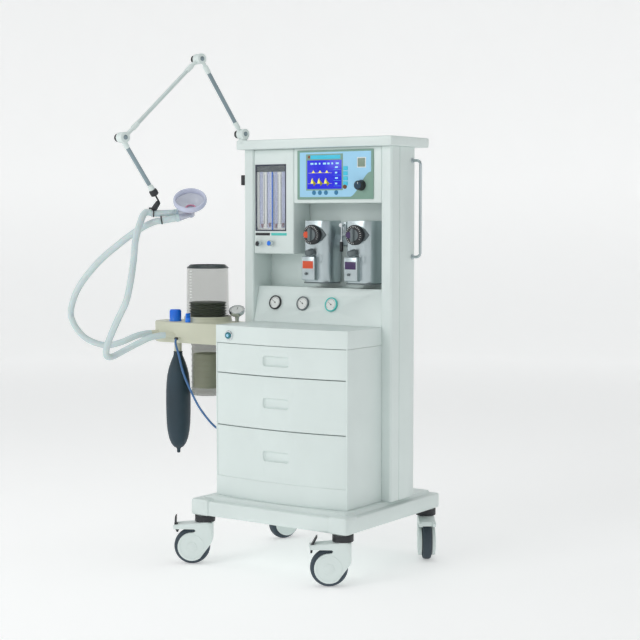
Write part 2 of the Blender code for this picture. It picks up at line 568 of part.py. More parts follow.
# ---------------------------------------------------------------- absorber, bellows and bag
end_x = ABS_LEFT + ABS_HALF
plan = [*arc(end_x, ABS_Y, ABS_HALF, 90, 270, 12), (ABS_RIGHT, ABS_Y - ABS_HALF), (ABS_RIGHT, ABS_Y + ABS_HALF)]
absorber = slab("absorber_body", plan, ABS_Z, ABS_TOP, "beige")
soften(absorber, 0.005, 1, 60)
pan = slab("dome_pan", arc(*DOME, DOME_R + 0.013, 0, 340, 17), ABS_Z + GAP, ABS_TOP - GAP)
soften(pan, 0.005, 1, 60)
seat = turned("dome_seat", [(0, ABS_TOP + SEAT_H), (DOME_R + 0.006, ABS_TOP + SEAT_H),
                            (DOME_R + 0.010, ABS_TOP - 0.004), (0, ABS_TOP - 0.004)], (*DOME, 0), steps=20)
bag_tube = turned("bag_tube", [(0, ABS_Z + 0.004), (BAG_PORT_R, ABS_Z + 0.004), (BAG_PORT_R, BAG_PORT_Z),
                               (0, BAG_PORT_Z)], (*BAG_PORT, 0), steps=12)
PORTS = {"inspiratory_port": ((-0.599, 0.153, 0.7815), 247.0),
         "expiratory_port": ((-0.5215, 0.145, 0.777), 233.0)}
PORT_R, PORT_OUT = 0.011, 0.026
port_ends = []
joined = [pan, seat, bag_tube]
for name, (at, bearing) in PORTS.items():
    way = Vector((math.cos(math.radians(bearing)), math.sin(math.radians(bearing)), 0))
    start = Vector(at)
    joined.append(rod(name, start - way * 0.012, start + way * PORT_OUT, PORT_R))
    port_ends.append((start + way * PORT_OUT, way))
join(absorber, *joined)
cut(absorber, turned("bag_tube_bore", [(0, ABS_Z - 0.004), (BAG_PORT_R - 0.002, ABS_Z - 0.004),
                                       (BAG_PORT_R - 0.002, BAG_PORT_Z - 0.01), (0, BAG_PORT_Z - 0.01)],
                     (*BAG_PORT, 0), steps=12))
KNOB_WELL = 0.010
for (x, y) in (APL_KNOB, SELECT_KNOB):
    cut(absorber, turned("knob_spindle_hole", [(0, ABS_TOP + 0.01), (0.0053, ABS_TOP + 0.01),
                                               (0.0053, ABS_TOP - KNOB_WELL), (0, ABS_TOP - KNOB_WELL)],
                         (x, y, 0), steps=10))
cut(absorber, turned("airway_stem_hole", [(0, ABS_TOP + 0.01), (0.0053, ABS_TOP + 0.01),
                                          (0.0053, ABS_TOP - 0.008), (0, ABS_TOP - 0.008)],
                     (*AIRWAY, 0), steps=10))
turned("apl_valve_knob", [(0, 0.043), (0.0190, 0.043), (0.0200, 0.041), (0.0215, 0.006), (0.0225, 0.004),
                          (0.0225, GAP), (0.005, GAP), (0.005, 0.002 - KNOB_WELL), (0, 0.002 - KNOB_WELL)],
       (*APL_KNOB, ABS_TOP), "blue", steps=18)
select = turned("bag_vent_selector", [(0, 0.016), (0.0090, 0.016), (0.0095, 0.014), (0.0095, GAP),
                                      (0.005, GAP), (0.005, 0.002 - KNOB_WELL), (0, 0.002 - KNOB_WELL)],
                (*SELECT_KNOB, ABS_TOP), "blue", steps=14)
join(select, block("selector_wing", (0.0055, 0.022, 0.018), (*SELECT_KNOB, ABS_TOP + 0.024),
                   round_edge=0.002, segments=1))
join(absorber, span("cabinet_arm", (ABS_RIGHT - 0.010, -HALF - GAP), (0.165, 0.275), (0.762, 0.812)))

seat_z = ABS_TOP + SEAT_H + GAP
w, top = DOME_WALL, DOME_H - 0.004
turned("bellows_dome",
       [(0, DOME_H), (0.0050, DOME_H), (0.0055, top), (DOME_R - 0.016, top - 0.001),
        (DOME_R - 0.0075, top - 0.005),
        (DOME_R - 0.0045, top - 0.013), (DOME_R, 0.008), (DOME_R + 0.003, 0.006), (DOME_R + 0.003, 0),
        (DOME_R - w, 0), (DOME_R - w - 0.0045, top - 0.014), (DOME_R - w - 0.008, top - 0.009),
        (DOME_R - 0.018, top - w - 0.001), (0, top - w)], (*DOME, seat_z), "smoke", steps=20)
folds = []
FOLD_COUNT, FOLD_H = 4, 0.012
for k in range(FOLD_COUNT):
    z = 0.052 - k * FOLD_H
    folds += [(0.068, z), (0.0615, z - FOLD_H / 2)]
turned("bellows", [(0, 0.056), (0.062, 0.056), (0.066, 0.054), *folds, (0.066, 0.002), (0.062, 0), (0, 0)],
       (*DOME, seat_z), "rubber", steps=18)

can_top = ABS_Z - GAP
can_h = can_top - CANISTER_Z
turned("soda_canister",
       [(0, can_h), (CANISTER_R + 0.003, can_h), (CANISTER_R + 0.003, can_h - 0.012),
        (CANISTER_R, can_h - 0.013),
        (CANISTER_R, 0.012), (CANISTER_R + 0.002, 0.011), (CANISTER_R + 0.002, 0.002),
        (CANISTER_R - 0.004, 0), (0, 0)], (*DOME, CANISTER_Z), "smoke", steps=20)

turned("breathing_bag",
       [(0, 0), (0.0165, 0), (0.0165, -0.012), (0.0200, -0.020), (0.033, -0.055), (0.0425, -0.110),
        (BAG_R, -0.165),
        (BAG_R, -0.225), (0.0415, -0.285), (0.033, -0.325), (0.0190, -0.350), (0.0070, -BAG_H),
        (0.0060, -BAG_H - 0.016), (0, -BAG_H - 0.017)],
       (*BAG_PORT, BAG_PORT_Z - GAP), "rubber", steps=16)

turned("airway_gauge", [(0, 0.052), (0.027, 0.052), (0.029, 0.050), (0.029, 0.041), (0.026, 0.038),
                        (0.021, 0.018), (0.010, 0.012), (0.007, GAP), (0.005, GAP), (0.005, -0.007),
                        (0, -0.007)], (*AIRWAY, ABS_TOP), "chrome", steps=16)

# ---------------------------------------------------------------- support arm
UP = Vector((0, 0, 1))
heading = math.radians(ARM_HEADING)
outward = Vector((math.cos(heading), math.sin(heading), 0))
pin = UP.cross(outward)                                   # the elbows' axis, pointing at the clamp knobs
pin = pin if pin.x < 0 else -pin
rises = [math.radians(angle) for angle in ARM_RISE]
ways = [outward * math.cos(rises[0]) + UP * math.sin(rises[0]),
        outward * math.cos(rises[1]) + UP * math.sin(rises[1]),
        -outward * math.cos(rises[2]) + UP * math.sin(rises[2])]
knuckles = [Vector((*ARM_BASE, KNUCKLE_Z))]
for way, length in zip(ways, LINKS):
    knuckles.append(knuckles[-1] + way * length)
shelf_top = COLUMN_TOP + SHELF_T
POST_R, POST_DEEP = 0.0065, 0.022
COLLAR_R, COLLAR_H = 0.0100, 0.034
CLAMP_R, CLAMP_H = 0.0142, 0.0190
MIDDLE = 0.0090              # each link's end disc stands this far to one side of the elbow


def disc(name, at, side, look=None, parent=None):
    """One half of an elbow, on the clamp knob's side or the other."""
    return rod(name, at + pin * side * GAP, at + pin * side * (KNUCKLE_HALF + GAP), KNUCKLE_R, look, parent, 18)


def link(name, number):
    """A tube that turns about the elbow it starts from and ends in half an elbow, the last one in a collar."""
    a, b = knuckles[number], knuckles[number + 1]
    last = number == len(LINKS) - 1
    made = disc(name, a, 1, "white")
    join(made, rod(f"{name}_tube", a + pin * MIDDLE, b - ways[number] * 0.004 if last else b - pin * MIDDLE,
                   LINK_R, steps=10),
         rod(f"{name}_collar", b - ways[number] * COLLAR_H, b, COLLAR_R, steps=14) if last
         else disc(f"{name}_end", b, -1))
    cut(made, rod(f"{name}_bolt_hole", a + pin * (KNUCKLE_HALF - 0.010), a + pin * 0.05, 0.0043, steps=12))
    return made


join(shelf, turned("arm_socket", [(0, 0.0038), (0.0150, 0.0038), (0.0165, 0.0025), (0.0165, -0.010),
                                  (0, -0.010)], (*ARM_BASE, shelf_top), steps=24))
cut(shelf, turned("post_hole", [(0, 0.01), (POST_R + GAP, 0.01), (POST_R + GAP, -POST_DEEP - 0.001),
                                (0, -POST_DEEP - 0.001)], (*ARM_BASE, shelf_top), steps=20))
turret = turned("arm_turret", [(0, 0.0045), (0.0120, 0.0045), (0.0120, 0.0041), (POST_R, 0.0041),
                               (POST_R, -POST_DEEP), (0, -POST_DEEP)], (*ARM_BASE, shelf_top), "white",
                steps=20)
neck = block("turret_neck", (0.022, KNUCKLE_HALF - 0.001, KNUCKLE_Z - shelf_top - 0.004),
             knuckles[0] - pin * MIDDLE - UP * (KNUCKLE_Z - shelf_top - 0.0042) / 2)
neck.rotation_euler = (0, 0, heading)
join(turret, neck, disc("turret_disc", knuckles[0], -1))
link("lower_link", 0)
link("upper_link", 1)
end_link = link("end_link", 2)
tip = knuckles[-1]
cut(end_link, rod("holder_bore", tip - ways[2] * 0.022, tip + ways[2] * 0.02, 0.0033, steps=12))
for number, name in enumerate(("shoulder_clamp_knob", "elbow_clamp_knob", "wrist_clamp_knob")):
    at = knuckles[number] + pin * (KNUCKLE_HALF + 2 * GAP)
    knob = rod(name, at, at + pin * CLAMP_H, CLAMP_R, "black", None, 14)
    join(knob, rod(f"{name}_bolt", at - pin * 0.0095, at + pin * 0.002, 0.004, steps=12))

# ---------------------------------------------------------------- patient circuit
MASK_AXIS = Vector((0.364, -0.530, 0.766)).normalized()
MASK_RIM = Vector((-0.3090, -0.0100, 1.2620))
MASK_DEEP, PORT_LENGTH, SOCKET_H = 0.044, 0.022, 0.0145
elbow_at = MASK_RIM - MASK_AXIS * (MASK_DEEP + PORT_LENGTH)
HELD = {"inspiratory": Vector((-0.3950, -0.0564, 1.1875)), "expiratory": Vector((-0.4180, -0.0780, 1.2120))}
LEG = {"inspiratory": Vector((-0.012, -0.044, -0.013)), "expiratory": Vector((-0.037, -0.027, 0.003))}
CUFF_R = 0.0110

mask = turned("face_mask",
              [(0.0480, 0.000), (0.0540, 0.004), (0.0575, -0.002), (0.0575, -0.010), (0.0520, -0.016),
               (0.0460, -0.024), (0.0340, -0.036), (0.0135, -MASK_DEEP),
               (0.0135, -MASK_DEEP - PORT_LENGTH + SOCKET_H),
               (0.0, -MASK_DEEP - PORT_LENGTH + SOCKET_H), (0.0, -MASK_DEEP + 0.001), (0.0120, -MASK_DEEP + 0.002),
               (0.0325, -0.0335), (0.0440, -0.0220), (0.0480, -0.0160), (0.0480, 0.000)],
              MASK_RIM, "hose", steps=18)
mask.rotation_euler = MASK_AXIS.to_track_quat("Z", "Y").to_euler()
y_piece = rod("y_piece", elbow_at - MASK_AXIS * 0.004, elbow_at + MASK_AXIS * (SOCKET_H - GAP), CUFF_R, "hose",
              steps=12)
CUFF_LENGTH = 0.014
ends = {}
for name, leg in LEG.items():
    knee = elbow_at + leg
    back = (knee - HELD[name]).normalized()
    ends[name] = knee - back * CUFF_LENGTH
    join(y_piece, rod(f"{name}_leg", elbow_at, knee, CUFF_R, steps=12),
         rod(f"{name}_cuff", knee + back * 0.004, ends[name], CUFF_R, steps=12))

SADDLE_CLEAR = 0.0030        # the holder's saddle stands this far over the hose it carries
saddle_at = HELD["expiratory"] + UP * (HOSE_D / 2 + SADDLE_CLEAR + 0.003)
holder = rod("hose_holder", tip - ways[2] * 0.021, tip + ways[2] * 0.030, 0.003, "black", None, 12)
join(holder, rod("holder_drop", tip + ways[2] * 0.026, saddle_at, 0.003, steps=12),
     block("holder_saddle", (0.026, 0.012, 0.006), saddle_at, round_edge=0.0015, segments=1))

ROUTES = {
    "inspiratory": [(-0.639, 0.082, 0.773), (-0.683, 0.058, 0.751), (-0.732, 0.035, 0.738),
                    (-0.780, 0.015, 0.747), (-0.822, 0.000, 0.771), (-0.853, -0.015, 0.817),
                    (-0.859, -0.020, 0.866), (-0.805, -0.035, 0.949), (-0.692, -0.058, 1.038),
                    (-0.568, -0.085, 1.105), (-0.475, -0.092, 1.154)],
    "expiratory": [(-0.571, 0.082, 0.770), (-0.603, 0.056, 0.751), (-0.636, 0.015, 0.725),
                   (-0.649, -0.030, 0.707), (-0.632, -0.080, 0.713), (-0.596, -0.120, 0.746),
                   (-0.548, -0.150, 0.794), (-0.495, -0.170, 0.856), (-0.451, -0.180, 0.913),
                   (-0.425, -0.185, 0.982), (-0.412, -0.182, 1.060), (-0.414, -0.168, 1.130)],
}
for (name, route), (port_end, way) in zip(ROUTES.items(), port_ends):
    at, end = HELD[name], ends[name]
    along = (end - at).normalized()
    points = [port_end + way * GAP, port_end + way * 0.016, *route, at - along * 0.030, at, at + along * 0.018,
              end - along * 0.016, end - along * GAP]
    hose(f"{name}_hose", points, HOSE_D, "hose", spacing=1.6, facets=2)

GAS_OUTLET = Vector((-0.488, ABS_Y - ABS_HALF, 0.767))
GAS_ROUTE = [(-0.481, 0.114, 0.752), (-0.466, 0.112, 0.715), (-0.449, 0.118, 0.647),
             (-0.423, 0.130, 0.580), (-0.397, 0.150, 0.517), (-0.360, 0.185, 0.454),
             (-0.325, 0.222, 0.428)]
gas_nipple = rod("gas_nipple", GAS_OUTLET + Vector((0, 0.006, 0)), GAS_OUTLET - Vector((0, 0.012, 0)), 0.0055,
                 steps=12)
join(absorber, gas_nipple)
socket_at = Vector((-HALF - GAP, 0.245, 0.420))
join(cabinet, turned("fresh_gas_outlet", [(0, 0.016), (0.0055, 0.016), (0.0055, 0.008), (0.0095, 0.007),
                                          (0.0095, -0.004), (0, -0.004)],
                     socket_at, None, None, (0, math.radians(-90), 0), 16))
hose("fresh_gas_hose", [GAS_OUTLET - Vector((0, 0.012 + GAP, 0)),
                        GAS_OUTLET - Vector((0, 0.018, 0)), *GAS_ROUTE,
                        socket_at - Vector((0.024, 0, 0)), socket_at - Vector((0.016 + GAP, 0, 0))],
     GAS_HOSE_D, "gas", spacing=2.8, facets=2)

# ---------------------------------------------------------------- stand the machine on its own middle
CIRCUIT = {"inspiratory_hose", "expiratory_hose", "fresh_gas_hose", "y_piece", "face_mask"}
bpy.context.view_layer.update()
graph = bpy.context.evaluated_depsgraph_get()
corners = []
for piece in machine.objects:
    if piece.type != "EMPTY" and piece.name not in CIRCUIT:
        shaped = piece.evaluated_get(graph)
        corners += [piece.matrix_world @ vert.co for vert in shaped.to_mesh().vertices]
        shaped.to_mesh_clear()
root.location = [-(min(c[k] for c in corners) + max(c[k] for c in corners)) / 2 for k in (0, 1)] + [0.0]
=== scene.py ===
# %% [markdown]
# # An anesthesia machine on casters
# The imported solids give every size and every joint. Each cell below takes one group of pieces and gives it the
# shape and finish it has on a real machine. Lengths are metres; the machine faces -Y and +Z is up.

# %% Load the frame
import json
import math

import bmesh
import bpy
from mathutils import Matrix, Vector

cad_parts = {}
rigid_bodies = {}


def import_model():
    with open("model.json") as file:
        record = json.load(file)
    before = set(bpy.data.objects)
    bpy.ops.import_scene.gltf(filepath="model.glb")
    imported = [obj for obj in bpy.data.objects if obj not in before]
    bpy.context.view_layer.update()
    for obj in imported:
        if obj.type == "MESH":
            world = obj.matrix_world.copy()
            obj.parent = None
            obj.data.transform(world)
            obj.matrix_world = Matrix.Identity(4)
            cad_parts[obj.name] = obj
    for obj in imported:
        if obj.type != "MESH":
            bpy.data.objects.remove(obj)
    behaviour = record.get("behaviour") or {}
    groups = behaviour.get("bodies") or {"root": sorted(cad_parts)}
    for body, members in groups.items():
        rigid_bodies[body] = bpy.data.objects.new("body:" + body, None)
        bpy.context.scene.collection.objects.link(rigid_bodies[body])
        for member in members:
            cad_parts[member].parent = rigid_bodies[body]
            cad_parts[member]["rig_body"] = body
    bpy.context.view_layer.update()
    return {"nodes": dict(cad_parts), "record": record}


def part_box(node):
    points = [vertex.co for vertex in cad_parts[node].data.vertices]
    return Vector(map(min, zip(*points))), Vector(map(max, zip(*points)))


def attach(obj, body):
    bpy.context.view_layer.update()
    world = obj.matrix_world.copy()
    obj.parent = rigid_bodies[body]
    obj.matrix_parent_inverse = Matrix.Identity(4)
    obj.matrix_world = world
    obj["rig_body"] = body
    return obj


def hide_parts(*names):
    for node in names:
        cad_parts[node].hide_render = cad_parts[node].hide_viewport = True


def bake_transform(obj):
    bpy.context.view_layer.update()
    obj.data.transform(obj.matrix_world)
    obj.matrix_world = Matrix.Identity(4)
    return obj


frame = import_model()
base_low, base_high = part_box("base_chassis")
SHIFT = Vector(((base_low.x + base_high.x) / 2, base_low.y, 0.0))
print("the machine's drawing starts from", tuple(round(v, 4) for v in SHIFT))


def spot(x, y, z):
    """A point measured from the middle of the base's front edge, on the floor."""
    return Vector((x, y, z)) + SHIFT


def sind(degrees):
    return math.sin(math.radians(degrees))


def cosd(degrees):
    return math.cos(math.radians(degrees))


# %% [markdown]
# ## Camera
# The camera stands well back with a long lens, so that upright edges stay nearly parallel. It looks from the
# machine's right front, a little downwards.

# %% Camera
CAMERA_AT = spot(2.948, -3.972, 1.205)
CAMERA_TURN, CAMERA_DIP, LENS, SENSOR = 34.47, 3.99, 84.2, 36.0
camera = bpy.data.objects.new("camera", bpy.data.cameras.new("camera"))
bpy.context.scene.collection.objects.link(camera)
camera.location = CAMERA_AT
turn, dip = math.radians(CAMERA_TURN), math.radians(CAMERA_DIP)
camera.rotation_euler = (math.pi / 2 - dip, 0.0, turn)
camera.data.lens, camera.data.sensor_width = LENS, SENSOR
bpy.context.scene.camera = camera
print("camera", round(CAMERA_AT.length, 2), "m from the machine's origin, with a lens of", LENS, "mm")


# %% [markdown]
# ## Finishes
# Paint, rubber and plastic all have a slight unevenness. One helper mixes two close tones by a noise pattern on
# Object coordinates, which stay with a piece as it moves, and adds a fine bump.

# %% A helper for finishes
def finish(name, rgb, rough=0.4, metal=0.0, change=0.06, grain=60.0, bump=0.04, **sockets):
    made = bpy.data.materials.new(name)
    made.use_nodes = True
    tree = made.node_tree
    shader = tree.nodes["Principled BSDF"]
    shader.inputs["Metallic"].default_value = metal
    for socket, value in sockets.items():
        shader.inputs[socket.replace("_", " ")].default_value = value
    where = tree.nodes.new("ShaderNodeTexCoord")
    cloud = tree.nodes.new("ShaderNodeTexNoise")
    cloud.inputs["Scale"].default_value = 6.0
    cloud.inputs["Detail"].default_value = 4.0
    tone = tree.nodes.new("ShaderNodeValToRGB")
    tone.color_ramp.elements[0].position, tone.color_ramp.elements[1].position = 0.35, 0.65
    tone.color_ramp.elements[0].color = (*[v * (1 - change) for v in rgb], 1)
    tone.color_ramp.elements[1].color = (*[min(1, v * (1 + change)) for v in rgb], 1)
    fine = tree.nodes.new("ShaderNodeTexNoise")
    fine.inputs["Scale"].default_value = grain * 10
    dull = tree.nodes.new("ShaderNodeMapRange")
    dull.inputs["To Min"].default_value, dull.inputs["To Max"].default_value = rough * 0.85, min(1, rough * 1.15)
    relief = tree.nodes.new("ShaderNodeBump")
    relief.inputs["Strength"].default_value, relief.inputs["Distance"].default_value = bump, 0.0005
    link = tree.links.new
    link(where.outputs["Object"], cloud.inputs["Vector"])
    link(where.outputs["Object"], fine.inputs["Vector"])
    link(cloud.outputs["Fac"], tone.inputs["Fac"])
    link(tone.outputs["Color"], shader.inputs["Base Color"])
    link(fine.outputs["Fac"], dull.inputs["Value"])
    link(dull.outputs["Result"], shader.inputs["Roughness"])
    link(fine.outputs["Fac"], relief.inputs["Height"])
    link(relief.outputs["Normal"], shader.inputs["Normal"])
    return made


ENAMEL = finish("white_enamel", (0.74, 0.82, 0.80), 0.34, change=0.02, grain=90, bump=0.06)
BEIGE = finish("beige_enamel", (0.62, 0.63, 0.50), 0.42, change=0.03, grain=90)
BLACK = finish("black_plastic", (0.018, 0.020, 0.024), 0.42, change=0.15)
TYRE = finish("grey_tyre", (0.045, 0.065, 0.085), 0.62, change=0.15, grain=40, bump=0.15)
STEEL = finish("satin_steel", (0.52, 0.58, 0.60), 0.32, metal=1.0, change=0.04)
VAPOR = finish("satin_silver_paint", (0.50, 0.57, 0.59), 0.30, metal=0.90, change=0.04)
CHROME = finish("polished_chrome", (0.72, 0.76, 0.78), 0.10, metal=1.0, change=0.02, bump=0.0)
BLUE = finish("blue_knob_plastic", (0.012, 0.20, 0.86), 0.32, change=0.05)
SLATE = finish("slate_bag_rubber", (0.016, 0.040, 0.058), 0.50, change=0.15, grain=30, bump=0.12)
GASBLUE = finish("blue_gas_tube", (0.06, 0.16, 0.36), 0.30, change=0.06)
PANEL = finish("green_grey_panel", (0.22, 0.37, 0.30), 0.50, change=0.03)
SKY = finish("light_blue_overlay", (0.36, 0.67, 0.90), 0.42, change=0.03)
TEAL = finish("teal_plastic", (0.09, 0.60, 0.55), 0.35, change=0.05)
CYAN = finish("cyan_plastic", (0.05, 0.58, 0.80), 0.35, change=0.04)
ORANGE = finish("orange_enamel", (0.74, 0.085, 0.025), 0.40, change=0.04)
PURPLE = finish("purple_enamel", (0.050, 0.022, 0.105), 0.40, change=0.05)
WHITE = finish("dial_white", (0.82, 0.84, 0.82), 0.45, change=0.02)
GREY = finish("mid_grey_plastic", (0.14, 0.17, 0.18), 0.40, change=0.05)
NAVY = finish("navy_knob_plastic", (0.010, 0.045, 0.085), 0.30, change=0.08)
RED = finish("dark_red_float", (0.22, 0.015, 0.02), 0.35, change=0.06)
DARKWIN = finish("dark_band", (0.035, 0.05, 0.055), 0.3, change=0.1)
SMOKE = finish("smoked_dome", (0.10, 0.125, 0.07), 0.08, change=0.05, bump=0.0, Alpha=0.15, IOR=1.45)
CLEAR = finish("clear_cover", (0.80, 0.86, 0.90), 0.08, change=0.01, bump=0.0, Alpha=0.06)
TUBE = finish("flow_tube_glass", (0.70, 0.74, 0.90), 0.08, change=0.02, bump=0.0, Alpha=0.25)
LAVENDER = finish("flow_window_back", (0.66, 0.70, 0.95), 0.45, change=0.03)
SHADE = finish("window_edge_shadow_navy", (0.03, 0.035, 0.07), 0.5, change=0.1)
HOSE = finish("pale_hose", (0.66, 0.78, 0.79), 0.34, change=0.04, Alpha=0.88, Subsurface_Weight=0.15)
SOFT = finish("clear_mask_shell", (0.56, 0.60, 0.72), 0.20, change=0.03, bump=0.0, Alpha=0.55)
RIM = finish("mask_soft_rim", (0.66, 0.70, 0.86), 0.25, change=0.04, bump=0.0, Alpha=0.75)
PINK = finish("mask_pink_valve", (0.80, 0.25, 0.38), 0.30, change=0.05, bump=0.0)
LCD = finish("lcd_blue", (0.004, 0.006, 0.45), 0.25, change=0.05, bump=0.0,
             Emission_Color=(0.01, 0.01, 0.9, 1), Emission_Strength=0.35)
TRACE = finish("trace_yellow", (0.9, 0.82, 0.10), 0.4, change=0.02, bump=0.0,
               Emission_Color=(1.0, 0.9, 0.1, 1), Emission_Strength=0.25)
ICE = finish("screen_ice_blue", (0.35, 0.70, 0.90), 0.4, change=0.02, bump=0.0,
             Emission_Color=(0.4, 0.8, 1.0, 1), Emission_Strength=0.2)
print("finishes:", len(bpy.data.materials))


# %% [markdown]
# ## Helpers for shapes
# A finished piece has its place in its mesh. `settle` bakes modifiers and placement, closes seams, turns the
# faces outwards, shades it, and lets it ride on the body it belongs to.

# %% Settle a piece
def settle(obj, body, look, slot, *nodes, sharp=35.0, weld=0.00001):
    bpy.context.view_layer.update()
    shaped = obj.evaluated_get(bpy.context.evaluated_depsgraph_get())
    mesh = bpy.data.meshes.new_from_object(shaped)
    mesh.transform(obj.matrix_world)
    name = obj.name
    bpy.data.objects.remove(obj, do_unlink=True)
    bm = bmesh.new()
    bm.from_mesh(mesh)
    bmesh.ops.remove_doubles(bm, verts=bm.verts, dist=weld)
    bmesh.ops.recalc_face_normals(bm, faces=bm.faces)
    bm.to_mesh(mesh)
    bm.free()
    mesh.shade_smooth()
    mesh.set_sharp_from_angle(angle=math.radians(sharp))
    mesh.materials.clear()
    mesh.materials.append(look)
    made = bpy.data.objects.new(name, mesh)
    bpy.context.scene.collection.objects.link(made)
    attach(made, body)
    if nodes:
        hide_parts(*nodes)
    return made


def fit(shape, look, slot, *nodes, **how):
    """Settle a piece on the cabinet, which carries most of the fittings."""
    return settle(shape, "cabinet", look, slot, *nodes, **how)


def raw(name, bm):
    mesh = bpy.data.meshes.new(name)
    bm.to_mesh(mesh)
    bm.free()
    made = bpy.data.objects.new(name, mesh)
    bpy.context.scene.collection.objects.link(made)
    return made


def facing(at, axis):
    """The place of a thing whose own upright points along the axis."""
    return Matrix.Translation(at) @ Vector(axis).to_track_quat("Z", "Y").to_matrix().to_4x4()


def round_off(obj, width, steps=3, angle=40.0):
    edge = obj.modifiers.new("edges", "BEVEL")
    edge.width, edge.segments = width, steps
    edge.limit_method, edge.angle_limit = "ANGLE", math.radians(angle)
    return obj


# %% [markdown]
# Turned pieces are a profile spun about an axis, blocks are cubes with rounded edges, and plates are an outline
# with a thickness. These three make most of the fittings.

# %% Turned pieces, blocks and plates
def lathe(name, profile, at, axis=(0, 0, 1), steps=64):
    bm = bmesh.new()
    rings = []
    for r, z in profile:
        if r < 1e-6:
            rings.append([bm.verts.new((0, 0, z))])
        else:
            rings.append([bm.verts.new((r * math.cos(2 * math.pi * k / steps),
                                        r * math.sin(2 * math.pi * k / steps), z)) for k in range(steps)])
    for a, b in zip(rings, rings[1:]):
        for k in range(steps):
            n = (k + 1) % steps
            corners = []
            for v in (a[k % len(a)], a[n % len(a)], b[n % len(b)], b[k % len(b)]):
                if v not in corners:
                    corners.append(v)
            if len(corners) > 2:
                bm.faces.new(corners)
    made = raw(name, bm)
    made.matrix_world = facing(at, axis)
    return made


def brick(name, x, y, z, edge=0.001, steps=2):
    bm = bmesh.new()
    bmesh.ops.create_cube(bm, size=1.0)
    bmesh.ops.scale(bm, vec=(x[1] - x[0], y[1] - y[0], z[1] - z[0]), verts=bm.verts)
    bmesh.ops.translate(bm, vec=spot(sum(x) / 2, sum(y) / 2, sum(z) / 2), verts=bm.verts)
    made = raw(name, bm)
    return round_off(made, edge, steps) if edge else made


def plate(name, outline, y0, y1, edge=0.0):
    """An outline in X and Z with a thickness along Y."""
    bm = bmesh.new()
    flat = bm.faces.new([bm.verts.new(spot(x, y0, z)) for x, z in outline])
    grown = bmesh.ops.extrude_face_region(bm, geom=[flat])["geom"]
    bmesh.ops.translate(bm, vec=(0, y1 - y0, 0), verts=[v for v in grown if isinstance(v, bmesh.types.BMVert)])
    made = raw(name, bm)
    return round_off(made, edge, 2) if edge else made


def bar(name, points, radius=0.0, sides=3):
    """A round bar bent through world points, or just its middle line where there is no radius."""
    curve = bpy.data.curves.new(name, "CURVE")
    curve.dimensions, curve.bevel_depth, curve.bevel_resolution = "3D", radius, sides
    curve.use_fill_caps = radius > 0
    line = curve.splines.new("POLY")
    line.points.add(len(points) - 1)
    for point, at in zip(line.points, points):
        point.co = (*at, 1.0)
    made = bpy.data.objects.new(name, curve)
    bpy.context.scene.collection.objects.link(made)
    return made


print("shapes to build with:", ", ".join(maker.__name__ for maker in (lathe, brick, plate, bar)))

# %% [markdown]
# Geometry Nodes make what repeats. Every tree here starts with a named input for each size and ends by making its
# instances real and setting their material, so these two ends and the sums between them are helpers too.

# %% The ends of a node tree
def start_tree(name, **sizes):
    """A tree with one named input for each size and one for the finish."""
    tree = bpy.data.node_groups.new(name, "GeometryNodeTree")
    face = tree.interface
    face.new_socket("Geometry", in_out="INPUT", socket_type="NodeSocketGeometry")
    for key, value in sizes.items():
        kind = "NodeSocketInt" if isinstance(value, int) else "NodeSocketFloat"
        face.new_socket(key.replace("_", " "), in_out="INPUT", socket_type=kind).default_value = value
    face.new_socket("Finish", in_out="INPUT", socket_type="NodeSocketMaterial")
    face.new_socket("Geometry", in_out="OUTPUT", socket_type="NodeSocketGeometry")
    return tree, tree.nodes.new("NodeGroupInput").outputs


def tree_maths(tree, kind, a, b=None):
    node = tree.nodes.new("ShaderNodeMath")
    node.operation = kind
    for socket, value in zip(node.inputs, (a, b)):
        if isinstance(value, float):
            socket.default_value = value
        elif value is not None:
            tree.links.new(value, socket)
    return node.outputs[0]


def blocks_on(tree, points, size, turn=None):
    """One block on every point, as long, wide and high as the three sizes say."""
    lengths, one = tree.nodes.new("ShaderNodeCombineXYZ"), tree.nodes.new("GeometryNodeMeshCube")
    for socket, length in zip(lengths.inputs, size):
        tree.links.new(length, socket)
    tree.links.new(lengths.outputs[0], one.inputs["Size"])
    copies = tree.nodes.new("GeometryNodeInstanceOnPoints")
    tree.links.new(points, copies.inputs["Points"])
    tree.links.new(one.outputs["Mesh"], copies.inputs["Instance"])
    if turn:
        tree.links.new(turn, copies.inputs["Rotation"])
    return copies.outputs[0]


def end_tree(tree, shape, paint):
    """Make the instances real, set their material and hand the mesh out."""
    real, look = (tree.nodes.new(f"GeometryNode{kind}") for kind in ("RealizeInstances", "SetMaterial"))
    out = tree.nodes.new("NodeGroupOutput")
    tree.links.new(shape, real.inputs[0])
    tree.links.new(real.outputs[0], look.inputs["Geometry"])
    tree.links.new(paint, look.inputs["Material"])
    tree.links.new(look.outputs["Geometry"], out.inputs["Geometry"])
    return tree


def grow(obj, tree, **inputs):
    """Run a tree on a piece. An input is set by its socket's identifier, found from its name."""
    nodes = obj.modifiers.new("pattern", "NODES")
    nodes.node_group = tree
    for item in tree.interface.items_tree:
        if item.in_out == "INPUT" and item.name.replace(" ", "_") in inputs:
            nodes[item.identifier] = inputs[item.name.replace(" ", "_")]
    return obj


# %% [markdown]
# ## Patient hoses
# Two corrugated tubes run from the absorber's ports to the Y-piece, and a thin tube brings fresh gas. A hose
# hangs in one smooth curve, so the route points are joined by a curve that passes through all of them.

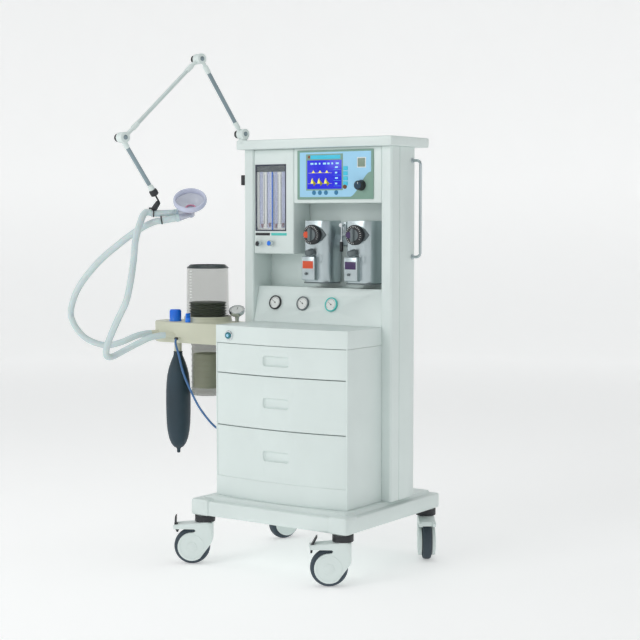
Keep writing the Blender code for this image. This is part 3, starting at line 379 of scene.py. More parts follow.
# %% The hoses' routes
PORTS = {"inspiratory": ((-0.599, 0.153, 0.7815), 247.0), "expiratory": ((-0.5215, 0.145, 0.777), 233.0)}
PORT_OUT, CUFF_R, CUFF_LENGTH, HOSE_D, GAS_D = 0.026, 0.0110, 0.014, 0.024, 0.008
MASK_AXIS = Vector((0.364, -0.530, 0.766)).normalized()
MASK_RIM = spot(-0.3090, -0.0100, 1.2620)
ELBOW = MASK_RIM - MASK_AXIS * 0.066
HELD = {"inspiratory": spot(-0.3950, -0.0564, 1.1875), "expiratory": spot(-0.4180, -0.0780, 1.2120)}
LEG = {"inspiratory": Vector((-0.012, -0.044, -0.013)), "expiratory": Vector((-0.037, -0.027, 0.003))}
ROUTES = {
    "inspiratory": [(-0.639, 0.082, 0.773), (-0.683, 0.058, 0.751), (-0.732, 0.035, 0.738),
                    (-0.780, 0.015, 0.747), (-0.822, 0.000, 0.771), (-0.853, -0.015, 0.817),
                    (-0.859, -0.020, 0.866), (-0.805, -0.035, 0.949), (-0.692, -0.058, 1.038),
                    (-0.568, -0.085, 1.105), (-0.475, -0.092, 1.154)],
    "expiratory": [(-0.571, 0.082, 0.770), (-0.603, 0.056, 0.751), (-0.636, 0.015, 0.725),
                   (-0.649, -0.030, 0.707), (-0.632, -0.080, 0.713), (-0.596, -0.120, 0.746),
                   (-0.548, -0.150, 0.794), (-0.495, -0.170, 0.856), (-0.451, -0.180, 0.913),
                   (-0.425, -0.185, 0.982), (-0.412, -0.182, 1.060), (-0.414, -0.168, 1.130)],
}
GAS_ROUTE = [(-0.481, 0.114, 0.752), (-0.466, 0.112, 0.715), (-0.449, 0.118, 0.647),
             (-0.423, 0.130, 0.580), (-0.397, 0.150, 0.517), (-0.360, 0.185, 0.454),
             (-0.325, 0.222, 0.428)]


def smooth_route(points, step):
    """Evenly spaced points along a smooth curve through the route."""
    ends = [2 * points[0] - points[1], *points, 2 * points[-1] - points[-2]]
    fine = []
    for a, b, c, d in zip(ends, ends[1:], ends[2:], ends[3:]):
        for k in range(24):
            t = k / 24
            fine.append(0.5 * (2 * b + (c - a) * t + (2 * a - 5 * b + 4 * c - d) * t ** 2
                               + (3 * b - a - 3 * c + d) * t ** 3))
    fine.append(points[-1])
    length = sum((q - p).length for p, q in zip(fine, fine[1:]))
    count = max(2, round(length / step))
    out, walked = [fine[0]], 0.0
    for p, q in zip(fine, fine[1:]):
        part = (q - p).length
        while part and walked + part >= length / count * len(out) and len(out) < count:
            out.append(p.lerp(q, (length / count * len(out) - walked) / part))
        walked += part
    return [*out, fine[-1]]


# %% [markdown]
# The corrugation follows the hose, so Geometry Nodes make it: the curve is resampled finely, its radius rises
# and falls as a sine of the length walked, and a circle is swept along it.

# %% Corrugated tube by Geometry Nodes
def corrugation_tree():
    tree, given = start_tree("corrugated_tube", Radius=0.012, Rib_Depth=0.0014, Pitch=0.0052, Step=0.0009)
    new, link = tree.nodes.new, tree.links.new

    def maths(*sum_of):
        return tree_maths(tree, *sum_of)

    fine = new("GeometryNodeResampleCurve")
    fine.mode = "LENGTH"
    link(given["Geometry"], fine.inputs["Curve"])
    link(given["Step"], fine.inputs["Length"])
    walked = new("GeometryNodeSplineParameter").outputs["Length"]
    wave = maths("SINE", maths("DIVIDE", maths("MULTIPLY", walked, 2 * math.pi), given["Pitch"]))
    lowered = maths("MULTIPLY", maths("MULTIPLY", maths("SUBTRACT", 1.0, wave), 0.5), given["Rib Depth"])
    ring = new("GeometryNodeCurvePrimitiveCircle")
    ring.inputs["Resolution"].default_value, ring.inputs["Radius"].default_value = 20, 1.0
    sweep = new("GeometryNodeCurveToMesh")
    link(fine.outputs["Curve"], sweep.inputs["Curve"])
    link(maths("SUBTRACT", given["Radius"], lowered), sweep.inputs["Scale"])
    link(ring.outputs["Curve"], sweep.inputs["Profile Curve"])
    sweep.inputs["Fill Caps"].default_value = True
    return end_tree(tree, sweep.outputs["Mesh"], given["Finish"])


CORRUGATED = corrugation_tree()


def run_length(points):
    return sum((b - a).length for a, b in zip(points, points[1:]))


print("corrugation inputs:", [item.name for item in CORRUGATED.interface.items_tree if item.in_out == "INPUT"])

# %% [markdown]
# On the real machine the hoses push over the ports and over the legs of the Y-piece. Each path therefore starts
# just off its port's end, runs straight for a short way, and comes straight into its leg.

# %% Lay the two corrugated hoses
hose_paths, leg_ends, hoses = {}, {}, {}
for name, (at, bearing) in PORTS.items():
    way = Vector((cosd(bearing), sind(bearing), 0))
    start = spot(*at) + way * PORT_OUT
    knee = ELBOW + LEG[name]
    back = (knee - HELD[name]).normalized()
    leg_ends[name] = end = knee - back * CUFF_LENGTH
    held = HELD[name]
    middle = smooth_route([start + way * 0.016, *[spot(*p) for p in ROUTES[name]], held - back * 0.030, held,
                           held + back * 0.018, end - back * 0.016], 0.012)
    hose_paths[name] = [start + way * 0.0003, *middle, end - back * 0.0003]
    drawn = bar(f"{name}_hose_skin", hose_paths[name])
    hoses[name] = fit(grow(drawn, CORRUGATED, Finish=HOSE), HOSE, "clear_hose", f"{name}_hose", sharp=80)
    print(name, "hose:", round(run_length(hose_paths[name]), 3), "m")

# %% [markdown]
# The fresh gas tube is plain and thin. It leaves the absorber's nipple, sags a little and plugs into the cabinet.

# %% Fresh gas tube
gas_out = spot(-0.488, 0.145, 0.767)
gas_in = spot(-0.2733, 0.245, 0.420)
gas_path = smooth_route([gas_out - Vector((0, 0.0124, 0)), gas_out - Vector((0, 0.018, 0)),
                         *[spot(*p) for p in GAS_ROUTE], gas_in - Vector((0.024, 0, 0)),
                         gas_in - Vector((0.0165, 0, 0))], 0.008)
gas_hose = fit(bar("fresh_gas_tube", gas_path, GAS_D / 2, 4), GASBLUE, "gas_hose_blue", "fresh_gas_hose", sharp=60)
fit(lathe("gas_tube_sleeve_1", [(0, 0.010), (0.0052, 0.010), (0.0058, 0.008), (0.0058, 0.001), (0.0052, 0), (0, 0)],
    gas_out - Vector((0, 0.0235, 0)), (0, 1, 0), 32), BLACK, "black_plastic")
print("fresh gas tube:", round(run_length(gas_path), 3), "m")

# %% [markdown]
# ## Y-piece and mask
# The Y-piece is a clear moulding: two ribbed legs meet in a socket under the mask. The mask is a clear cone with
# a soft rolled rim, and its open side faces up and to the front.

# %% Y-piece
for name, leg in LEG.items():
    knee, end = ELBOW + leg, leg_ends[name]
    fit(bar(f"y_piece_{name}_leg", smooth_route([ELBOW, ELBOW.lerp(knee, 0.5), knee, knee.lerp(end,
        0.6), end], 0.004), CUFF_R, 6), SOFT, "clear_hose", sharp=50)
    away = (end - knee).normalized()
    fit(lathe(f"y_piece_{name}_cuff", [(0.0105, 0.012), (0.0126, 0.012), (0.0130, 0.011), (0.0130,
        0.001), (0.0126, 0), (0.0105, 0), (0.0105, 0.012)], end - away * 0.0125, away, 48), HOSE, "clear_hose")
fit(lathe("y_piece_socket", [(0, 0.0140), (0.0110, 0.0140), (0.0112, 0.006), (0.0125, 0.005), (0.0125,
    -0.006), (0.0105, -0.0095), (0.004, -0.0115), (0, -0.0118)], ELBOW, MASK_AXIS, 48), SOFT, "clear_hose",
    "y_piece")

# %% [markdown]
# The mask's shell is one thin turned wall, and its rim is a soft roll that seals on the animal's muzzle. The hose that
# ends here carries the Y-piece and the mask.

# %% Mask
mask_shell = settle(lathe("mask_shell", [(0.0478, -0.0155), (0.0520, -0.0160), (0.0500, -0.0195), (0.0460, -0.024),
    (0.0400, -0.0305), (0.0340, -0.036), (0.0240, -0.0415), (0.0150, -0.0430), (0.0135, -0.0446), (0.0135, -0.0512),
    (0, -0.0512), (0, -0.0432), (0.0120, -0.0420), (0.0225, -0.0395), (0.0325, -0.0338), (0.0385, -0.0282), (0.0440,
    -0.0222), (0.0478, -0.0155)], MASK_RIM, MASK_AXIS, 72), "face_mask", SOFT, "clear_hose", "face_mask")
rim_profile = [(0.0525 + 0.0050 * cosd(a), -0.0070 + 0.0105 * sind(a))
               for a in range(0, 361, 20)]
mask_rim = settle(lathe("mask_rim", rim_profile, MASK_RIM, MASK_AXIS, 72), "face_mask", RIM, "clear_hose")
mask_valve = settle(lathe("mask_valve_ring", [(0.0138, -0.0400), (0.0190, -0.0405), (0.0200, -0.0430), (0.0190,
    -0.0480), (0.0138, -0.0490), (0.0138, -0.0400)], MASK_RIM, MASK_AXIS, 48), "face_mask", PINK, "clear_hose")

print("mask rim:", round(2 * max(r for r, z in rim_profile), 3), "m across")


# %% [markdown]
# ## Sheet-metal body
# The cabinet, drawers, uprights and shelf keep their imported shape, which is right. A copy of each gets merged
# corners, soft edges and smooth shading, so that light catches the edges as it does on painted sheet.

# %% Soft-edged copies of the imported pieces
def body_of(node):
    return next(body for body, nodes in frame["record"]["behaviour"]["bodies"].items() if node in nodes)


def dress(node, look, slot, edge=0.0009, sharp=32.0, angle=28.0):
    source = frame["nodes"][node]
    bm = bmesh.new()
    bm.from_mesh(source.data)
    bmesh.ops.remove_doubles(bm, verts=bm.verts, dist=0.00002)
    bmesh.ops.dissolve_limit(bm, angle_limit=math.radians(0.6), verts=bm.verts, edges=bm.edges)
    copy = raw(f"{node}_skin", bm)
    if edge:
        round_off(copy, edge, 2, angle)
        copy.modifiers[0].use_clamp_overlap = True
        copy.modifiers[0].harden_normals = False
    return settle(copy, body_of(node), look, slot, node, sharp=sharp, weld=0.000001)


for node in ("base_chassis", "lower_cabinet", "worktop", "left_upright", "right_upright", "rear_wall", "top_shelf",
             "flowmeter_housing", "display_housing", "gauge_panel", "bottom_drawer", "middle_drawer", "top_drawer"):
    dress(node, ENAMEL, "enamel_white")
for node in ("arm_turret", "lower_link", "upper_link", "end_link"):
    dress(node, ENAMEL, "enamel_white", 0.0006)
dress("absorber_body", BEIGE, "absorber_beige", 0.0008)
for node in ("front_left_caster_fork", "front_right_caster_fork", "rear_left_caster_fork", "rear_right_caster_fork"):
    dress(node, ENAMEL, "enamel_white", 0.0)
for node in ("front_left_brake_pedal", "front_right_brake_pedal"):
    dress(node, BLACK, "black_plastic", 0.0008)
dress("vaporizer_bar", STEEL, "satin_steel", 0.0006)
dress("interlock_lever", CHROME, "chrome", 0.0)
dress("hose_holder", BLACK, "black_plastic", 0.0)
dress("flow_tube_block", WHITE, "enamel_white", 0.0004)

# %% [markdown]
# ## Casters
# A caster wheel is a rubber tyre on a plastic core, and side covers with round hubs hide most of it. The tyre's
# tread is slightly crowned.

# %% Wheels and hub discs
CASTERS = {"front_left": (-0.287, 0.036, 214.5), "front_right": (0.287, 0.036, 214.5),
           "rear_left": (-0.287, 0.566, 250.0), "rear_right": (0.287, 0.566, -55.5)}
for name, (x, y, heading) in CASTERS.items():
    along = Vector((cosd(heading), sind(heading), 0))
    axle = Vector((-along.y, along.x, 0))
    hub = spot(x, y, 0.0625) + along * 0.045
    tread = [(0, 0.0257), (0.005, 0.0257), (0.005, 0.016), (0.048, 0.016)]
    tread += [(0.0525 + 0.0098 * sind(a), 0.0155 * cosd(a) ** 0.6)
              for a in range(10, 90, 10)]
    tread += [(0.0625, 0.0)]
    tread += [(r, -z) for r, z in reversed(tread[:-1])]
    settle(lathe(f"{name}_tyre", tread, hub, axle, 72), f"{name}_wheel", TYRE, "tyre_grey", f"{name}_wheel")
    for side in (-1, 1):
        settle(lathe(f"{name}_hub_cover_{'out' if side > 0 else 'in'}", [(0, 0.0014), (0.0150, 0.0014), (0.0165,
            0.0008), (0.0175, -0.0006), (0.0390, -0.0006), (0.0400, 0.0010), (0.0425, 0.0010), (0.0435, -0.0010),
            (0.0430, -0.0014), (0, -0.0014)], hub + axle * side * 0.0290, axle * side, 64), f"{name}_caster", ENAMEL,
            "enamel_white")
    settle(lathe(f"{name}_swivel_ring", [(0.0240, 0.0228), (0.0345, 0.0228), (0.0352, 0.0218), (0.0352, 0.0012),
        (0.0345, 0.0), (0.0240, 0.0), (0.0240, 0.0228)], spot(x, y, 0.1486), (0, 0, 1), 48), f"{name}_caster", BLACK,
        "black_plastic")
print("casters:", len(CASTERS))

# %% [markdown]
# ## Bellows, dome and canister
# The dome is one smoked shell over the black pleated bellows, and the canister below it is a ribbed cup. The bellows'
# lowest pleat stays on its seat while the top rises; here its skin is taken off its body and left standing where it
# was built.

# %% Bellows, dome and canister
DOME = spot(-0.4515, 0.262, 0.0)
SEAT_Z, CAN_Z = 0.8383, 0.556
SEAT, CAN_FOOT = DOME + Vector((0, 0, SEAT_Z)), DOME + Vector((0, 0, CAN_Z))
pleats = [(0, 0.0558), (0.0600, 0.0558), (0.0645, 0.0548)]
for k in range(5):
    z = 0.0515 - k * 0.0096
    pleats += [(0.0672, z + 0.0012), (0.0677, z), (0.0672, z - 0.0012), (0.0612, z - 0.0044), (0.0608, z - 0.0050),
               (0.0612, z - 0.0056)]
pleats += [(0.0655, 0.0022), (0.0620, 0.0004), (0, 0.0004)]
bellows = settle(lathe("bellows_skin", pleats, SEAT, (0, 0, 1), 72), "bellows_top", BLACK, "slate_rubber", "bellows",
    sharp=60)
bellows.parent = None
bellows.matrix_world = Matrix.Identity(4)
del bellows["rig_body"]
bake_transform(bellows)
dome_skin = [(0, 0.1930), (0.0050, 0.1930), (0.0055, 0.1888)]
dome_skin += [(0.0610 + 0.0150 * sind(a), 0.1730 + 0.0152 * cosd(a))
              for a in range(0, 91, 10)]
dome_skin += [(0.0785, 0.020), (0.0790, 0.0085), (0.0818, 0.0060), (0.0820, 0.0002), (0.0755, 0.0002),
              (0.0755, 0.020), (0.0730, 0.172)]
dome_skin += [(0.0600 + 0.0130 * sind(a), 0.1730 + 0.0125 * cosd(a))
              for a in range(90, -1, -15)]
dome_skin += [(0, 0.1857)]
fit(lathe("dome_shell", dome_skin, SEAT, (0, 0, 1), 96), SMOKE, "smoked_clear", "bellows_dome")
fit(lathe("dome_clamp_ring", [(0.0822, 0.0040), (0.0850, 0.0040), (0.0858, 0.0030), (0.0858, -0.0018), (0.0822,
    -0.0018), (0.0822, 0.0040)], SEAT, (0, 0, 1), 96), BEIGE, "absorber_beige")
fit(lathe("dome_top_band", [(0.0625, 0.1893), (0.0755, 0.1775), (0.0768, 0.1790), (0.0640, 0.1903), (0.0625, 0.1893)],
    SEAT, (0, 0, 1), 96), DARKWIN, "smoked_clear")
can = [(0, 0.1935), (0.063, 0.1935), (0.063, 0.1820), (0.060, 0.1805)]
for k in range(8):
    z = 0.166 - k * 0.020
    can += [(0.060, z + 0.003), (0.0612, z + 0.0015), (0.0612, z - 0.0015), (0.060, z - 0.003)]
can += [(0.060, 0.012), (0.062, 0.011), (0.062, 0.002), (0.056, 0), (0, 0)]
fit(lathe("canister_skin", can, CAN_FOOT, (0, 0, 1), 96), finish("canister_smoke", (0.085, 0.10, 0.05), 0.14,
    change=0.10, bump=0.0, Alpha=0.50), "smoked_clear", "soda_canister", sharp=50)
fit(lathe("canister_granules", [(0, 0.150), (0.052, 0.150), (0.054, 0.147), (0.054, 0.030), (0.052, 0.027), (0,
    0.027)], CAN_FOOT, (0, 0, 1), 72), finish("soda_lime", (0.62, 0.62, 0.50), 0.8, change=0.25, grain=25, bump=0.4),
    "smoked_clear")
print("dome:", round(2 * max(r for r, z in dome_skin), 3), "m across its foot; canister:",
      round(2 * max(r for r, z in can), 3), "m across its rim")

# %% [markdown]
# ## Breathing bag
# The bag is thin rubber hanging from a ribbed neck, widest below its middle, with four soft lengthwise folds.

# %% Breathing bag
BAG_TOP = spot(-0.558, 0.220, 0.7117)
bag_line = [(0.0165, 0), (0.0165, -0.004), (0.0152, -0.006), (0.0165, -0.008), (0.0165, -0.013), (0.0200, -0.022),
    (0.0265, -0.038), (0.0340, -0.060), (0.0395, -0.085), (0.0428, -0.112), (0.0446, -0.145), (0.0450, -0.190),
    (0.0446, -0.225), (0.0432, -0.262), (0.0405, -0.290), (0.0350, -0.318), (0.0270, -0.338), (0.0180, -0.350),
    (0.0090, -0.355), (0.0066, -0.359), (0.0062, -0.370), (0.0050, -0.3725)]
STEPS = 72


def bag_point(r, z, fold, k):
    """A point of the bag's skin; four lengthwise folds make it narrower where fold is more than zero."""
    narrow = r * (1 - 0.045 * fold * (0.5 + 0.5 * math.cos(8 * math.pi * k / STEPS)))
    return Vector((narrow * math.cos(2 * math.pi * k / STEPS), narrow * math.sin(2 * math.pi * k / STEPS), z))


bm, rings = bmesh.new(), []
for r, z in bag_line:
    fold = max(0.0, min(1.0, (-z - 0.03) / 0.08)) * max(0.0, min(1.0, (z + 0.350) / 0.06))
    rings.append([bm.verts.new(BAG_TOP + bag_point(r, z, fold, k)) for k in range(STEPS)])
for a, b in zip(rings, rings[1:]):
    for k in range(STEPS):
        bm.faces.new((a[k], a[(k + 1) % STEPS], b[(k + 1) % STEPS], b[k]))
bm.faces.new(rings[0])
bm.faces.new(rings[-1])
fit(raw("bag_skin", bm), SLATE, "slate_rubber", "breathing_bag", sharp=60)
print("bag:", -bag_line[-1][1], "m long, four folds")

# %% [markdown]
# ## Absorber controls
# The relief valve is a tall blue knob with finger ribs, the bag and ventilator selector a small wing knob, and
# the airway gauge a round chrome case on a stem. The ribs are instances round a circle.

# %% Repeats round a circle by Geometry Nodes
def ring_tree():
    tree, given = start_tree("round_repeat", Radius=0.02, Start=0.0, Sweep=6.283, Width=0.001, Length=0.004,
                             Height=0.001, Count=1)
    new, link = tree.nodes.new, tree.links.new

    def maths(*sum_of):
        return tree_maths(tree, *sum_of)

    dots = new("GeometryNodeMeshLine")
    link(given["Count"], dots.inputs["Count"])
    share = maths("DIVIDE", new("GeometryNodeInputIndex").outputs[0],
                  maths("MAXIMUM", maths("SUBTRACT", given["Count"], 1.0), 1.0))
    angle = maths("ADD", maths("MULTIPLY", share, given["Sweep"]), given["Start"])
    where, turned_to = new("ShaderNodeCombineXYZ"), new("ShaderNodeCombineXYZ")
    link(maths("MULTIPLY", maths("COSINE", angle), given["Radius"]), where.inputs["X"])
    link(maths("MULTIPLY", maths("SINE", angle), given["Radius"]), where.inputs["Y"])
    link(angle, turned_to.inputs["Z"])
    put = new("GeometryNodeSetPosition")
    link(dots.outputs["Mesh"], put.inputs["Geometry"])
    link(where.outputs[0], put.inputs["Position"])
    size = [given[key] for key in ("Length", "Width", "Height")]
    copies = blocks_on(tree, put.outputs["Geometry"], size, turned_to.outputs[0])
    return end_tree(tree, copies, given["Finish"])


ROUND = ring_tree()


def round_marks(name, at, axis, body, look, slot, count, radius, length, width, height, start=0.0, sweep=None):
    """count small blocks on a circle; angles are in degrees, anticlockwise as seen from the axis's tip."""
    holder = raw(name, bmesh.new())
    holder.matrix_world = facing(at, axis)
    sweep = 360.0 * (count - 1) / count if sweep is None else sweep
    return settle(grow(holder, ROUND, Radius=radius, Start=math.radians(start), Sweep=math.radians(sweep), Width=width,
                       Length=length, Height=height, Count=count, Finish=look), body, look, slot)


print("round repeat inputs:", [item.name for item in ROUND.interface.items_tree if item.in_out == "INPUT"])

# %% [markdown]
# The relief valve's knob is opened and closed by hand during a case, so it is tall and ribbed. The airway gauge
# leans towards the user on a short stem. All of these are turned shapes.

# %% Knobs and gauge on the absorber
APL = spot(-0.549, 0.196, 0.824)
settle(lathe("apl_knob_skin", [(0, 0.0425), (0.0175, 0.0425), (0.0190, 0.0415), (0.0196, 0.0390), (0.0208, 0.0070),
    (0.0222, 0.0045), (0.0225, 0.0030), (0.0225, 0.0004), (0, 0.0004)], APL), "apl_valve_knob", BLUE, "blue_knob",
    "apl_valve_knob")
round_marks("apl_knob_ribs", APL + Vector((0, 0, 0.024)), (0, 0, 1), "apl_valve_knob", BLUE, "blue_knob", 24, 0.0203,
    0.0018, 0.0022, 0.028)
SELECT = spot(-0.463, 0.162, 0.824)
settle(lathe("selector_skin", [(0, 0.0165), (0.0085, 0.0165), (0.0094, 0.0150), (0.0095, 0.0004), (0, 0.0004)],
    SELECT, steps=48), "bag_vent_selector", BLUE, "blue_knob", "bag_vent_selector")
settle(brick("selector_wing_skin", (-0.463 - 0.00275, -0.463 + 0.00275), (0.151, 0.173), (0.8395, 0.8568), 0.002),
    "bag_vent_selector", BLUE, "blue_knob")
AIRWAY = spot(-0.347, 0.300, 0.824)
LEAN = Vector((0.22, -0.42, 0.88)).normalized()
HEAD = AIRWAY + Vector((0, 0, 0.0330))
fit(lathe("airway_gauge_stem", [(0, 0.0280), (0.0085, 0.0280), (0.0085, 0.0120), (0.0070, 0.0090), (0.0070, 0.0004),
    (0, 0.0004)], AIRWAY, steps=40), CHROME, "chrome")
fit(lathe("airway_gauge_case", [(0, 0.0100), (0.0262, 0.0100), (0.0266, 0.0135), (0.0280, 0.0135), (0.0288, 0.0120),
    (0.0288, 0.0020), (0.0262, -0.0030), (0.0200, -0.0090), (0.0100, -0.0130), (0, -0.0135)], HEAD, LEAN), CHROME,
    "chrome", "airway_gauge")
fit(lathe("airway_gauge_face", [(0, 0.0112), (0.0258, 0.0112), (0.0258, 0.0104), (0, 0.0104)], HEAD, LEAN), WHITE,
    "dial_grey")
round_marks("airway_gauge_ticks", HEAD + LEAN * 0.0114, LEAN, "cabinet", BLACK, "dial_grey", 25, 0.0225, 0.004,
    0.0005, 0.0004, -60, 300)
POINTING = LEAN.cross(Vector((1, 0.4, 0))).normalized()
fit(bar("airway_gauge_needle", [HEAD + LEAN * 0.0122, HEAD + LEAN * 0.0122 + POINTING * 0.018], 0.0006), BLACK,
    "dial_grey")
print("gauge leans", round(math.degrees(math.acos(LEAN.z))), "degrees")

# %% [markdown]
# ## Pipeline gauges
# Three round gauges sit in the sloping panel. Each has a coloured bezel, a white face with ticks on three quarters of
# a circle, a needle and a small black boss at its middle.

# %% Pipeline gauges
SLOPE = math.atan2(0.325 - 0.2955, 0.9545 - 0.8293)
GAUGE_FACE = Vector((0, -math.cos(SLOPE), math.sin(SLOPE)))
for x, name, ring in ((-0.1830, "left", BLACK), (-0.0640, "middle", GREY), (0.0560, "right", TEAL)):
    at = spot(x, 0.2955 + 0.070 * math.sin(SLOPE), 0.8293 + 0.070 * math.cos(SLOPE))
    node = f"pipeline_gauge_{name}"
    fit(lathe(f"{node}_bezel", [(0, 0.0044), (0.0205, 0.0044), (0.0212, 0.0073), (0.0240, 0.0075), (0.0248, 0.0068),
        (0.0250, 0.0055), (0.0250, 0.0004), (0, 0.0004)], at, GAUGE_FACE), ring, "dial_grey", node)
    fit(lathe(f"{node}_face", [(0, 0.0052), (0.0203, 0.0052), (0.0203, 0.0046), (0, 0.0046)], at, GAUGE_FACE), WHITE,
        "dial_grey")
    round_marks(f"{node}_ticks", at + GAUGE_FACE * 0.0054, GAUGE_FACE, "cabinet", BLACK, "dial_grey", 21, 0.0172,
        0.0036, 0.0006, 0.0004, -45, 270)
    up = Vector((0, math.sin(SLOPE), math.cos(SLOPE)))
    tip = (Vector((-0.7, 0, 0)) + up * 0.5).normalized()
    fit(bar(f"{node}_needle", [at + GAUGE_FACE * 0.0060 - tip * 0.004, at + GAUGE_FACE * 0.0060 + tip * 0.0145],
        0.0005), BLACK, "dial_grey")
    fit(lathe(f"{node}_boss", [(0, 0.0068), (0.0018, 0.0068), (0.0022, 0.0060), (0.0022, 0.0052), (0, 0.0052)], at,
        GAUGE_FACE, 32), BLACK, "dial_grey")
print("gauge panel slopes", round(math.degrees(SLOPE), 1), "degrees")

# %% [markdown]
# ## Flowmeter window
# Four glass tubes stand in front of a white back, each with a small dark float near the bottom and a printed
# scale. A dark band runs across the top and a blue strip divides the two gases.

# %% Flow tubes
FACE_Y = 0.2966
W0, W1, Z0, Z1 = -0.2575, -0.1295, 1.1537, 1.3817
fit(brick("flow_window_back", (W0 + 0.0005, W1 - 0.0005), (FACE_Y + 0.0125, FACE_Y + 0.0135), (Z0 + 0.0005,
    Z1 - 0.0005), 0.0), LAVENDER, "enamel_white")
fit(brick("flow_window_band", (W0, W1), (FACE_Y + 0.0030, FACE_Y + 0.0050), (1.3590, Z1), 0.0004), DARKWIN,
    "dial_grey")
fit(brick("flow_window_divider", (-0.1912, -0.1882), (FACE_Y + 0.0020, FACE_Y + 0.0075), (Z0, 1.3590), 0.0004), BLUE,
    "blue_knob")
TUBES_X = (-0.2358, -0.2033, -0.1757, -0.1453)
for k, x in enumerate(TUBES_X):
    fit(bar(f"flow_tube_{k + 1}", [spot(x, FACE_Y + 0.0075, Z0 + 0.006), spot(x, FACE_Y + 0.0075, 1.3570)], 0.0052,
        5), TUBE, "smoked_clear")
    fit(lathe(f"flow_float_{k + 1}", [(0, 0.0080), (0.0046, 0.0070), (0.0048, 0.0030), (0.0030, -0.0060), (0,
        -0.0085)], spot(x, FACE_Y + 0.0075, 1.1690 + 0.003 * (k % 2)), steps=32), RED, "dial_grey")
    for side in (-1, 1):
        fit(brick(f"flow_scale_{k + 1}_{'right' if side > 0 else 'left'}", (x + side * 0.0095 - 0.0004,
            x + side * 0.0095 + 0.0004), (FACE_Y + 0.0068, FACE_Y + 0.0077), (1.175, 1.350), 0.0), GREY, "dial_grey")

# %% [markdown]
# The scale marks beside each tube repeat along a line, so they are made by Geometry Nodes too: a mesh line of
# points carries one small block each.

# %% Scale marks by Geometry Nodes
def ladder_tree():
    tree, given = start_tree("scale_ladder", Count=20, Pitch=0.005, Length=0.005, Thickness=0.005)
    new, link = tree.nodes.new, tree.links.new
    rise, dots = new("ShaderNodeCombineXYZ"), new("GeometryNodeMeshLine")
    link(given["Pitch"], rise.inputs["Z"])
    link(given["Count"], dots.inputs["Count"])
    link(rise.outputs[0], dots.inputs["Offset"])
    size = [given[key] for key in ("Length", "Thickness", "Thickness")]
    return end_tree(tree, blocks_on(tree, dots.outputs["Mesh"], size), given["Finish"])


LADDER = ladder_tree()


def ladder_marks(name, at, count, pitch, length, thickness, look, slot):
    """Marks one above another, on the cabinet."""
    marks = raw(name, bmesh.new())
    marks.location = at
    return fit(grow(marks, LADDER, Count=count, Pitch=pitch, Length=length, Thickness=thickness, Finish=look), look, slot)


scale_at = DOME + Vector((0.0792 * cosd(-101), 0.0792 * sind(-101), 0.912))
ladder_marks("dome_scale_marks", scale_at, 10, 0.0105, 0.0085, 0.0022, WHITE, "smoked_clear")
for k, x in enumerate(TUBES_X):
    for side, end in ((-1, "left"), (1, "right")):
        ladder_marks(f"flow_marks_{k + 1}_{end}", spot(x + side * 0.0082, FACE_Y + 0.0070, 1.178), 24, 0.0072, 0.0036,
            0.0007, BLACK, "dial_grey")
print("scale marks beside", len(TUBES_X), "tubes and on the dome")

# %% [markdown]
# Dark navy strips of painted shadow line the window's four edges, standing in for the shade inside its recess. A clear
# cover closes the window, and a coloured label under it names each gas on a real machine; the labels are left blank.
# The flow knobs are chrome, with fine knurling that fingers can hold.

# %% Window's painted edge shadow, cover, label strips and flow knobs
# Painted shadow: four dark navy strips, 3 mm wide, round the window's edges stand in for the shade inside its recess.
SHADOW_EDGE = 0.003
WIDE, TALL = (W0 - SHADOW_EDGE, W1 + SHADOW_EDGE), (Z0 - SHADOW_EDGE, Z1 + SHADOW_EDGE)
for name, x, z in (("left", (W0 - SHADOW_EDGE, W0 + 0.001), TALL), ("right", (W1 - 0.001, W1 + SHADOW_EDGE), TALL),
                   ("bottom", WIDE, (Z0 - SHADOW_EDGE, Z0 + 0.001)), ("top", WIDE, (Z1 - 0.001, Z1 + SHADOW_EDGE))):
    fit(brick(f"flow_window_frame_{name}", x, (FACE_Y - 0.0012, FACE_Y + 0.0040), z, 0.0005), SHADE, "dial_grey")
fit(brick("flow_window_cover", (W0 + 0.0005, W1 - 0.0005), (FACE_Y - 0.0004, FACE_Y + 0.0010), (Z0 + 0.0005,
    Z1 - 0.0005), 0.0003), CLEAR, "smoked_clear")
fit(brick("flow_label_black", (-0.260, -0.197), (FACE_Y - 0.0008, FACE_Y + 0.0005), (1.1350, 1.1440), 0.0003), BLACK,
    "black_plastic")
fit(brick("flow_label_teal", (-0.191, -0.124), (FACE_Y - 0.0008, FACE_Y + 0.0005), (1.1350, 1.1440), 0.0003), TEAL,
    "flush_teal")
FRONT = (0, -1, 0)
for x, z, name, face_look in ((-0.2364, 1.106, "oxygen_flow_knob", BLACK), (-0.1853, 1.108, "air_flow_knob", BLUE)):
    at = spot(x, FACE_Y, z)
    settle(lathe(f"{name}_skin", [(0, 0.0232), (0.0078, 0.0232), (0.0088, 0.0240), (0.0094, 0.0228), (0.0095, 0.0115),
        (0.0088, 0.0100), (0.0065, 0.0092), (0.0065, 0.0006), (0, 0.0006)], at, FRONT), name, CHROME, "chrome", name)
    settle(lathe(f"{name}_face", [(0, 0.0239), (0.0074, 0.0239), (0.0076, 0.0234), (0, 0.0230)], at, FRONT), name,
        face_look, "black_plastic")
    round_marks(f"{name}_knurl", at + Vector((0, -0.0168, 0)), FRONT, name, CHROME, "chrome", 36, 0.0094, 0.0006,
        0.0007, 0.0095)
print("flow window:", round(W1 - W0, 3), "by", round(Z1 - Z0, 3), "m")

# %% [markdown]
# ## Ventilator display
# The panel is green-grey, with a light blue overlay whose lower edge sweeps in an S-curve. The blue screen shows
# two traces, with a cyan band over it, soft keys beside it and round buttons below.

